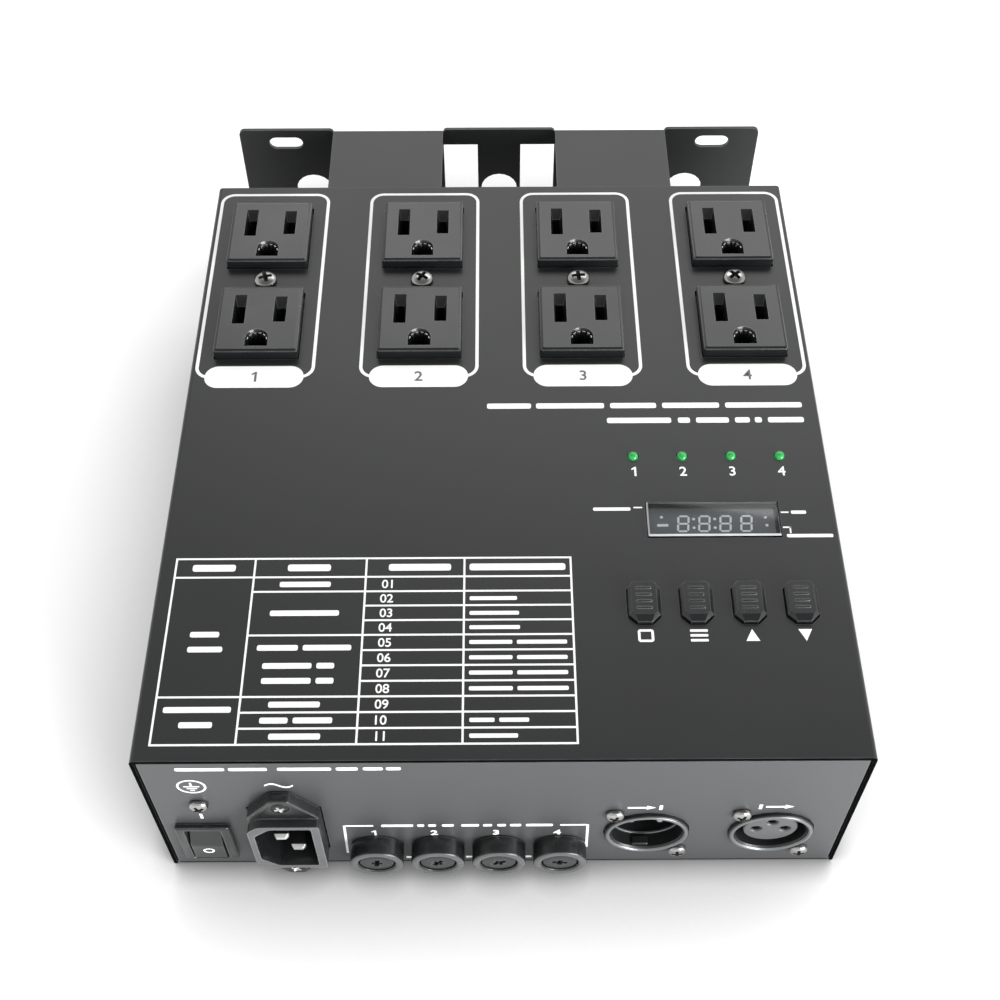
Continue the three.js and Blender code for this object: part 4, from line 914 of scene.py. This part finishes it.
# Bars of the second and first column, then of the last, each row with its Y
for y, *spans in (
        (-53.35, (-61.0, -47.0)), (-62.6, (-62.9, -44.2)), (-73.4, (-65.4, -54.5), (-53.2, -40.3)),
        (-78.9, (-63.5, -50.5), (-49.2, -44.5)), (-83.4, (-63.4, -50.4), (-49.1, -44.4)),
        (-90.4, (-60.9, -47.5)), (-95.0, (-62.8, -55.5), (-54.2, -44.0)), (-99.6, (-60.1, -46.8)),
        (-69.2, (-83.7, -75.9)), (-73.8, (-83.9, -74.6)), (-91.8, (-88.0, -70.4)),
        (-96.2, (-83.5, -74.8))):
    table_films += bars(y, 1.7, *spans)
PAIR = ((-8.9, 2.6), (3.8, 17.2))
for y, *spans in ((-58.1, (-8.9, 4.0)), (-62.8, (-8.9, 4.5)), (-67.3, (-8.9, 4.7)), (-71.9, *PAIR),
                  (-76.6, *PAIR), (-81.2, *PAIR), (-85.9, *PAIR), (-95.1, (-8.7, -2.2), (-1.0, 6.7)),
                  (-99.6, (-8.7, 3.8))):
    table_films += bars(y, 1.2, *spans)
printed("settings_table", table_films, WHOLE_TOP)
for number, (high, low) in enumerate(zip(ROW_LINES[1:], ROW_LINES[2:]), 1):
    numeral(f"{number:02d}", 2.7, -31.5, (low + high) / 2, WHOLE_TOP, white_ink,
            f"table_number_{number}")

# Marks beside the display and under the buttons
printed("display_marks", [
    line(37.5, -27.9, 40.0, -27.9, 0.45), *bars(-28.4, 1.1, (26.0, 36.6)),
    line(79.2, -29.8, 81.4, -29.8, 0.45), *bars(-29.8, 1.1, (82.1, 86.4)),
    line(79.2, -35.0, 81.4, -35.0, 0.45), line(81.2, -34.8, 81.2, -37.0, 0.45),
    *bars(-37.9, 1.1, (80.0, 93.0))], WHOLE_TOP)
mode_mark = frame_ring(3.6, 3.2, 0.4, 0, 0.7)
mode_mark.transform(Matrix.Translation((CONTROL_XS[0], -70.2, 0)))
menu_x, up_x, down_x = CONTROL_XS[1:]
menu_mark = []
for y in (-68.7, -70.2, -71.7):
    menu_mark += bars(y, 0.75, (menu_x - 2.4, menu_x + 2.4))
up_mark = film([(up_x - 1.85, -72.0), (up_x + 1.85, -72.0), (up_x, -68.3)])
down_mark = film([(down_x + 1.85, -68.4), (down_x - 1.85, -68.4), (down_x, -72.1)])
printed("button_marks", [mode_mark, *menu_mark, up_mark, down_mark], WHOLE_TOP)


# Front panel marks
def earth_symbol(x, y):
    ring = ring_shape(3.9, 3.3, -INK_DEPTH, INK_RISE)
    ring.transform(Matrix.Translation((x, y, 0)))
    return [ring, line(x, y + 2.3, x, y + 0.1, 0.55),
            line(x - 2.1, y, x + 2.1, y, 0.55, CROSSING_RISE),
            line(x - 1.35, y - 1.1, x + 1.35, y - 1.1, 0.55),
            line(x - 0.6, y - 2.2, x + 0.6, y - 2.2, 0.55)]


def wave_mark(x, y, width, height, stroke, steps=20):
    """One period of a wave, the plain mark of alternating current."""
    points = [(x + width * (i / steps - 0.5), y + height / 2 * math.sin(2 * math.pi * i / steps))
              for i in range(steps + 1)]
    top = [(px, py + stroke / 2) for px, py in points]
    low = [(px, py - stroke / 2) for px, py in points]
    return film(low + top[::-1])


def arrow(x0, x1, y, size=2.4):
    """Arrow that points right."""
    head = [(x1 - size, y - size / 2), (x1, y), (x1 - size, y + size / 2)]
    return [line(x0, y, x1 - size, y, 0.9), film(head)]


FUSE_BAR_Z = 26.1
front_films = bars(61.5, 1.7, (-84.0, -71.3), (-70.3, -60.4), (-57.8, -44.0), (-42.8, -37.2),
                   (-35.9, -30.8), (-30.0, -26.2))
front_films += earth_symbol(-81.4, 51.5)
front_films += [line(-81.8, 31.6, -81.8, 34.6, 0.8), wave_mark(-58.6, 51.9, 7.5, 2.0, 0.8)]
# The fuses' bracket, its bars, and a dash between each fuse and the next
front_films += [
    line(-43.5, FUSE_BAR_Z, -35.8, FUSE_BAR_Z, 0.85), line(-43.75, 26.3, -44.3, 7.6, 0.7),
    line(15.6, FUSE_BAR_Z, 23.0, FUSE_BAR_Z, 0.85), line(23.2, 26.3, 23.45, 10.9, 0.7)]
front_films += bars(FUSE_BAR_Z, 1.5, (-33.6, -24.8), (-23.7, -21.8), (-20.7, -18.5),
                    (-16.9, -13.6), (-11.6, -6.7), (-5.6, -3.1), (-1.7, 0.7), (1.8, 4.9), (6.2, 13.6))
front_films += [line(x + 7.7, 4.3, x + 9.4, 4.3, 1.1) for x in FUSE_XS[:3]]
# Arrows into the one signal connector and out of the other
front_films += arrow(33.4, 41.0, 37.0) + [line(42.4, 35.6, 42.4, 38.4, 0.9)]
front_films += [line(69.2, 35.8, 69.2, 38.6, 0.9)] + arrow(70.6, 78.2, 37.2)
printed("front_marks", front_films, WHOLE_FRONT)
for number, x in enumerate((-35.9, -19.2, -2.05, 14.9), 1):
    numeral(str(number), 3.1, x, 21.3, WHOLE_FRONT, white_ink, f"fuse_number_{number}",
            weight=0.03)


# Unlit seven-segment digits on the display module
def segment(x0, y0, x1, y1, width=0.62):
    """A bar with pointed ends from one point to the other."""
    dx, dy = x1 - x0, y1 - y0
    length = math.hypot(dx, dy)
    ux, uy = dx / length, dy / length
    nx, ny = -uy * width / 2, ux * width / 2
    ax, ay = x0 + ux * width / 2, y0 + uy * width / 2
    bx, by = x1 - ux * width / 2, y1 - uy * width / 2
    outline = [(x0, y0), (ax - nx, ay - ny), (bx - nx, by - ny), (x1, y1),
               (bx + nx, by + ny), (ax + nx, ay + ny)]
    return film(outline, SEGMENT_RISE)


def digit_segments(x, y, width=2.9, height=5.2, lean=0.1, gap=0.12):
    w, h = width / 2, height / 2

    def at(px, py):
        return x + px + lean * py, y + py

    runs = (((-w, h), (w, h)), ((-w, 0), (w, 0)), ((-w, -h), (w, -h)), ((-w, 0), (-w, h)),
            ((w, 0), (w, h)), ((-w, -h), (-w, 0)), ((w, -h), (w, 0)))
    segments = []
    for (ax, ay), (bx, by) in runs:
        length = math.hypot(bx - ax, by - ay)
        sx, sy = (bx - ax) / length * gap, (by - ay) / length * gap
        segments.append(segment(*at(ax + sx, ay + sy), *at(bx - sx, by - sy)))
    return segments


DOTS = ((45.5, -29.9), (75.1, -30.1), (75.25, -32.85), (54.6, -30.6), (60.6, -30.6), (54.5, -33.6),
        (60.5, -33.6))
module_films = []
for x in (51.56, 57.55, 63.55, 69.5):
    module_films += digit_segments(x, DISPLAY_ROW)
module_films += [film(circle(0.45, x, y, 20), SEGMENT_RISE) for x, y in DOTS]
module_films.append(film(rounded_box(3.2, 0.9, 0.3, 45.7, -32.7), SEGMENT_RISE))
printed("display_segments", module_films, lifted(WHOLE_TOP, -DISPLAY_DROP), pale_segment_glow)

# Floor, a hair under the object so that no faces coincide
floor_mesh = bpy.data.meshes.new("floor")
floor_solid = bmesh.new()
bmesh.ops.create_circle(floor_solid, cap_ends=True, segments=64, radius=6.0)
floor_solid.to_mesh(floor_mesh)
floor_solid.free()
floor = bpy.data.objects.new("floor", floor_mesh)
floor.location.z = -0.0001
scene.collection.objects.link(floor)
floor_paint = bpy.data.materials.new("matt_white_floor")
floor_paint.use_nodes = True
floor_tree = floor_paint.node_tree
floor_tree.nodes.clear()


def seen_rays(tree):
    """One for rays from the camera, a reflection or a clear piece, and nought for the rest."""
    path = add_node(tree, "LightPath")
    direct = combined(tree, "MAXIMUM", path.outputs["Is Camera Ray"], path.outputs["Is Glossy Ray"])
    return combined(tree, "MAXIMUM", direct, path.outputs["Is Transmission Ray"])


# Paper, white in the open, painted grey as a painted shadow in the object's lee and right against it,
# with a small glow that only seen rays meet, dimmed there by the same painted shadow, so that the
# open floor reads white without lighting the object
lee = add_node(floor_tree, "AmbientOcclusion", {"Distance": 0.052}, samples=16)
touch = add_node(floor_tree, "AmbientOcclusion", {"Distance": 0.008}, samples=16)
openness = combined(floor_tree, "MULTIPLY", lee.outputs["AO"], touch.outputs["AO"])
paper_with_painted_shadow = add_node(floor_tree, "Mix", {6: linear("#626262"), 7: linear("#f6f6f6")}, {0: openness},
                 data_type="RGBA")
open_glow = add_node(floor_tree, "Math", {1: 0.26}, {0: openness}, operation="MULTIPLY")
floor_glow = combined(floor_tree, "MULTIPLY", open_glow.outputs[0], seen_rays(floor_tree))
matt = add_node(floor_tree, "BsdfDiffuse", links={"Color": paper_with_painted_shadow.outputs[2]})
glow = add_node(floor_tree, "Emission", {"Color": WHITE}, {"Strength": floor_glow})
both = add_node(floor_tree, "AddShader", links={0: matt.outputs[0], 1: glow.outputs[0]})
add_node(floor_tree, "OutputMaterial", links={"Surface": both.outputs[0]})
floor_mesh.materials.append(floor_paint)

# Studio walls
world = bpy.data.worlds.new("studio")
scene.world = world
world.use_nodes = True
world_tree = world.node_tree
world_tree.nodes.clear()
# White walls that darken overhead, where the studio has no lamp, and give more light from the right
towards = add_node(world_tree, "TexCoord").outputs["Generated"]
way = add_node(world_tree, "SeparateXYZ", links={0: towards})
wall = add_node(world_tree, "MapRange", {
    "From Min": 0.55, "From Max": 0.95, "To Min": 1.0, "To Max": 0.25},
    {"Value": way.outputs["Z"]}, interpolation_type="SMOOTHSTEP")
side = add_node(world_tree, "MapRange", {
    "From Min": -0.7, "From Max": 0.7, "To Min": 1.08, "To Max": 1.66}, {"Value": way.outputs["X"]})
soft_level = combined(world_tree, "MULTIPLY", wall.outputs[0], side.outputs[0])
soft = add_node(world_tree, "Background", {"Color": WHITE}, {"Strength": soft_level})
seen = add_node(world_tree, "Background", {"Color": WHITE}, {"Strength": wall.outputs[0]})
world_mix = add_node(world_tree, "MixShader", links={
    0: seen_rays(world_tree), 1: soft.outputs[0], 2: seen.outputs[0]})
add_node(world_tree, "OutputWorld", links={"Surface": world_mix.outputs[0]})


def softbox(name, place, size, watts):
    """An area lamp that faces the middle of the object."""
    lamp = bpy.data.lights.new(name, "AREA")
    lamp.shape = "RECTANGLE"
    lamp.size, lamp.size_y = size
    lamp.energy = watts
    holder = bpy.data.objects.new(name, lamp)
    holder.location = place
    towards = Vector((0, 0, 0.03)) - Vector(place)
    holder.rotation_euler = towards.to_track_quat("-Z", "Y").to_euler()
    scene.collection.objects.link(holder)


softbox("softbox_front", (0.86, -0.85, 0.3), (0.9, 0.4), 20.5)
softbox("softbox_rear", (0.2, 1.1, 1.1), (1.4, 0.6), 5.5)

# Camera at the photograph's viewing angle, worked out from the casing's edges there
YAW, PITCH, ROLL = math.radians(0.148), math.radians(53.805), math.radians(0.166)
forward = Vector((math.sin(YAW) * math.cos(PITCH), math.cos(YAW) * math.cos(PITCH), -math.sin(PITCH)))
level_right = Vector((math.cos(YAW), -math.sin(YAW), 0))
level_down = forward.cross(level_right)
right = math.cos(ROLL) * level_right + math.sin(ROLL) * level_down
down = -math.sin(ROLL) * level_right + math.cos(ROLL) * level_down
axes = Matrix((right, -down, -forward)).transposed().to_4x4()
camera_data = bpy.data.cameras.new("camera")
camera_data.sensor_width = 36
camera_data.lens = 52.637  # in millimetres, on that sensor
camera_data.clip_start = 0.01
camera = bpy.data.objects.new("camera", camera_data)
camera.matrix_world = shift(-1.10, -271.71, 403.16) @ axes
scene.collection.objects.link(camera)
scene.camera = camera
scene.view_settings.view_transform = "Standard"
